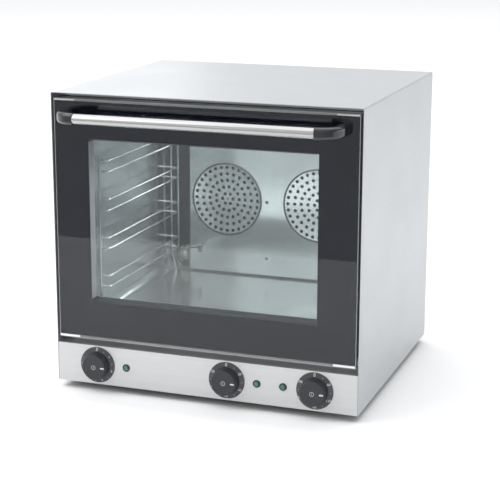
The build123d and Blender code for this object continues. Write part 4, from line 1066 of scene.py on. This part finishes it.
@dataclass
class Door:
    """Door frame, glasses, printed border, seals, trims and hinge leaves."""

    front: float = -241.75
    cover_inner: float = 249.4
    cover_outer: float = 290.2
    skin_depths: tuple[float, float] = (0.5, 0.2)
    skin_corner: float = 1.0
    trims: tuple[tuple[float, float], ...] = ((104.1, 108.0), (556.2, 557.9))
    print_front: float = -237.74
    print_back: float = -237.56
    half_width: float = 290.0
    print_corner: float = 3.0
    bottom: float = 108.6
    top: float = 555.0
    clear_left: float = -225.0
    clear_right: float = 217.5
    clear_bottom: float = 175.5
    clear_top: float = 487.0
    clear_corner: float = 1.5
    opening_half: float = 224.4
    bead_width: float = 0.8
    bead_ends: tuple[float, float] = (181.8, 480.6)
    bead_depth: tuple[float, float] = (-237.3, -216.0)

    def build(self) -> None:
        """Dresses the door and adds the printed border."""
        dress(DOOR_SHEET, "door_frame")
        dress(DOOR_GLASS, "door_outer_glass")
        dress(INNER_GLASS, "door_inner_glass")
        dress(SEAL, "door_glass_seals")
        dress(TRIM_DULL, "door_bottom_trim", "door_top_trim")
        dress(PLATED, "hinge_leaves", "hinge_plates")
        dress(SCREW, "hinge_pins")
        add(self.border(), PRINT, "door", "door_glass")
        # Painted highlight on the trims' end covers.
        add(self.end_cover_glints(), TRIM_GLINT, "door", "trim_steel")
        add(self.side_beads(), BEAD_AND_SHEEN, "door", "door_glass")

    def side_beads(self) -> bpy.types.Object:
        """Silicone beads up both sides of the opening between the glasses, in a pale grey that paints in the
        bright reflection along the window's sides.

        Returns:
            Both beads as one object.
        """
        low, high = self.bead_ends
        shape = (self.bead_width / 2, (high - low) / 2, self.bead_width / 3)
        surfaces = []
        for side in (-1, 1):
            middle = (side * (self.opening_half - self.bead_width / 2), (low + high) / 2)
            surfaces.append(slab(middle, shape, self.bead_depth))
        return join_surfaces("door_side_beads", surfaces)

    def end_cover_glints(self) -> bpy.types.Object:
        """Pale skins over the end covers of both trims, a painted highlight for the polished covers' glint.

        Returns:
            All four skins as one object.
        """
        surfaces = []
        half = (self.cover_outer - self.cover_inner) / 2
        depth = (self.front - self.skin_depths[0], self.front + self.skin_depths[1])
        for low, high in self.trims:
            for side in (-1, 1):
                middle = (side * (self.cover_inner + half), (low + high) / 2)
                surfaces.append(slab(middle, (half, (high - low) / 2, self.skin_corner), depth))
        return join_surfaces("trim_end_covers", surfaces)

    def border(self) -> bpy.types.Object:
        """Black print on the back of the outer glass, with the clear window in it.

        Returns:
            The print.
        """
        middle = (self.bottom + self.top) / 2
        outer = outline(self.half_width, (self.top - self.bottom) / 2, self.print_corner)
        clear_half = (self.clear_right - self.clear_left) / 2
        inner = outline(clear_half, (self.clear_top - self.clear_bottom) / 2, self.clear_corner)
        clear_x, clear_z = (self.clear_left + self.clear_right) / 2, (self.clear_bottom + self.clear_top) / 2
        inner = inner + (clear_x, clear_z - middle)
        points, faces = ring_plate(outer, inner, middle, self.print_front, self.print_back)
        return make_object("door_glass_print", points, faces)


@dataclass
class Handle:
    """Stainless tube, its two black brackets and their screws."""

    def build(self) -> None:
        """Dresses the tube, the brackets and the screws."""
        dress(PLASTIC, "handle_brackets")
        dress(HANDLE, "handle_tube")
        dress(SCREW, "handle_screws")


@dataclass
class Cavity:
    """Liner, baffle, gasket, insulation, lamp, probe and vent."""

    screw_x: float = -12.0
    screw_heights: tuple[float, ...] = (183.2, 303.0, 422.8)
    screw_head: tuple[float, float] = (3.75, 2.2)
    screw_shaft: tuple[float, float] = (2.0, 14.0)
    baffle_front: float = 158.25
    guard_x: float = 100.0
    guard_z: float = 303.0
    guard_radius: float = 75.0
    bead_half: float = 2.0
    bead_height: float = 1.6
    rim_lift: float = 0.12

    def build(self) -> None:
        """Dresses everything inside the liner."""
        dress(CAVITY, "cavity_wrap")
        # Rear wall: patina plus painted shade.
        dress(REAR_WALL_SHADED, "cavity_rear_wall")
        dress(BAFFLE, "baffle_panel")
        dress(PLATED, "baffle_posts")
        # Painted shade: dark rings over the guard beads.
        add(self.guard_shade_rings(), GUARD_SHADE, "oven_body", "cavity_steel")
        dress(SCREW, "probe_clip", "temperature_probe")
        surfaces = []
        for z in self.screw_heights:
            place = (self.screw_x, self.baffle_front, z)
            surfaces += screw(place, self.screw_head, FORWARDS, self.screw_shaft)
        add(join_surfaces("baffle_screw_heads", surfaces), SCREW, "oven_body", "screw_steel", "baffle_screws")
        dress(RUBBER, "cavity_gasket")
        dress(WOOL, "insulation_rear", "insulation_sleeve")
        dress(TRIM, "steam_vent", "lamp_holder")
        dress(LAMP_GLASS, "lamp_lens")
        dress(FILAMENT, "lamp_bulb")

    def guard_shade_rings(self) -> bpy.types.Object:
        """Painted shade: a dark ring laid over each fan guard's bead, in place of the shade along it.

        It follows the guard's round bead: radius and depth go with the cosine and sine of
        half a turn around the bead's crest.

        Returns:
            Both lines as one object.
        """
        turns = np.linspace(0.0, math.pi, 9)
        radii = self.guard_radius + self.bead_half * np.cos(turns)
        depths = -self.bead_height * np.sin(turns)
        profile = [*zip(radii, depths - self.rim_lift), *zip(radii[::-1], depths[::-1] + self.rim_lift)]
        surfaces = []
        for side in (-1, 1):
            points, _ = turned(profile, (side * self.guard_x, self.baffle_front, self.guard_z), FINE_TURN)
            surfaces.append((points, grid_faces(len(profile), FINE_TURN, True, True).tolist()))
        return join_surfaces("guard_shade_rings", surfaces)


@dataclass
class Racks:
    """Side racks of bent chromed wire."""

    def build(self) -> None:
        """Dresses the racks."""
        dress(RACK, "rack_left", "rack_right")


@dataclass
class FanDrive:
    """Fan wheels, shafts, motors and ring elements behind the baffle."""

    def build(self) -> None:
        """Dresses both sides."""
        for side in ("left", "right"):
            # The wheel's near-black tone is painted shade.
            dress(WHEEL_SHADED, f"fan_wheel_{side}")
            dress(TRIM, f"fan_shaft_{side}")
            dress(MOTOR, f"fan_motor_{side}")
            dress(SHEATH, f"heating_element_{side}")


# Studio


@dataclass
class Lamp:
    """An area lamp aimed at a point."""

    name: str
    place: Point
    target: Point
    size: tuple[float, float]
    power: float

    def build(self) -> None:
        """Makes the lamp, hidden from the camera and turned to its target."""
        data = bpy.data.lights.new(self.name, "AREA")
        data.shape, data.size, data.size_y = "RECTANGLE", *self.size
        data.energy = self.power
        lamp = bpy.data.objects.new(self.name, data)
        bpy.context.scene.collection.objects.link(lamp)
        lamp.location = self.place
        lamp.visible_camera = False
        aim = Vector(self.target) - Vector(self.place)
        lamp.rotation_euler = aim.to_track_quat("-Z", "Y").to_euler()


@dataclass
class Studio:
    """Pale floor, white surroundings, soft lamps and the camera."""

    floor_span: tuple[float, float, float, float] = (-30.0, 30.0, -1.35, 30.0)
    floor_tone: Colour = (0.96, 0.96, 0.96)
    camera_place: Point = (0.9443, -2.6501, 0.9483)
    camera_turn: Point = (76.16, 0.0, 20.13)
    lens: float = 105.99
    below: Colour = (0.70, 0.705, 0.73)
    right: Colour = (0.43, 0.45, 0.47)
    above: Colour = (0.97, 0.975, 0.985)
    shift: tuple[float, float] = (0.0318, -0.0157)
    lamps: tuple[Lamp, ...] = (
        Lamp("top", (0.0, 0.8, 6.0), (0.0, 0.5, 0.0), (10.0, 10.0), 295.0),
        Lamp("key", (-1.5, -1.2, 1.7), (0.0, 0.0, 0.2), (1.6, 1.4), 15.0),
        Lamp("sky", (-2.3, 3.2, 1.75), (-0.2, 0.0, 0.57), (1.8, 1.2), 6.5),
        Lamp("side", (2.3, 0.6, 0.6), (0.2, 0.1, -0.1), (1.8, 0.8), 6.0),
        Lamp("cavity", (0.03, -0.02, 0.497), (0.03, 0.08, 0.0), (0.34, 0.24), 3.1),
    )

    def build(self) -> None:
        """Makes the floor, the world, the lamps and the camera."""
        self.floor()
        self.world()
        for lamp in self.lamps:
            lamp.build()
        self.camera()
        scene = bpy.context.scene
        scene.view_settings.view_transform = "Standard"

    def floor(self) -> None:
        """Pale floor plane at the feet."""
        left, right, front, back = self.floor_span
        points = np.array(((left, front, 0), (right, front, 0), (right, back, 0), (left, back, 0)), float)
        mesh = bpy.data.meshes.new("floor")
        mesh.from_pydata(points.tolist(), [], [[0, 1, 2, 3]])
        plane = bpy.data.objects.new("floor", mesh)
        bpy.context.scene.collection.objects.link(plane)
        material = bpy.data.materials.new("floor")
        material.use_nodes = True
        shader = material.node_tree.nodes["Principled BSDF"]
        shader.inputs["Base Color"].default_value = (*self.floor_tone, 1.0)
        shader.inputs["Roughness"].default_value = 0.9
        shader.inputs["Specular IOR Level"].default_value = 0.1
        mesh.materials.append(material)

    def world(self) -> None:
        """White behind the object for the camera, softer light for everything else."""
        world = bpy.data.worlds.new("studio")
        bpy.context.scene.world = world
        world.use_nodes = True
        tree = world.node_tree
        tree.nodes.clear()
        output = tree.nodes.new("ShaderNodeOutputWorld")
        white = tree.nodes.new("ShaderNodeBackground")
        white.inputs["Color"].default_value = (1.0, 1.0, 1.0, 1.0)
        soft = tree.nodes.new("ShaderNodeBackground")
        where = tree.nodes.new("ShaderNodeTexCoord")
        split = tree.nodes.new("ShaderNodeSeparateXYZ")
        tree.links.new(where.outputs["Generated"], split.inputs["Vector"])
        rise = spread(tree, split.outputs["Z"], low=-0.06, high=0.04)
        height = mixed_colour(tree, rise, self.below, self.above)
        right = spread(tree, split.outputs["X"], low=0.1, high=0.9)
        tree.links.new(mixed_colour(tree, right, height, self.right), soft.inputs["Color"])
        path = tree.nodes.new("ShaderNodeLightPath")
        mix = tree.nodes.new("ShaderNodeMixShader")
        tree.links.new(path.outputs["Is Camera Ray"], mix.inputs["Fac"])
        tree.links.new(soft.outputs["Background"], mix.inputs[1])
        tree.links.new(white.outputs["Background"], mix.inputs[2])
        tree.links.new(mix.outputs["Shader"], output.inputs["Surface"])

    def camera(self) -> None:
        """Camera at the photograph's place, turn, lens and shift."""
        data = bpy.data.cameras.new("photo")
        data.lens, data.sensor_width = self.lens, 36.0
        data.shift_x, data.shift_y = self.shift
        data.clip_end = 100.0
        camera = bpy.data.objects.new("photo", data)
        bpy.context.scene.collection.objects.link(camera)
        camera.location = self.camera_place
        camera.rotation_euler = tuple(math.radians(angle) for angle in self.camera_turn)
        bpy.context.scene.camera = camera


def main() -> None:
    """Builds and dresses every sub-assembly, then the studio."""
    logging.basicConfig(level=logging.INFO, format="%(name)s %(message)s")
    for assembly in (Casing(), ControlPanel(), Door(), Handle(), Cavity(), Racks(), FanDrive(), Studio()):
        log.info("building %s", type(assembly).__name__)
        assembly.build()


if __name__ == "__main__":
    main()
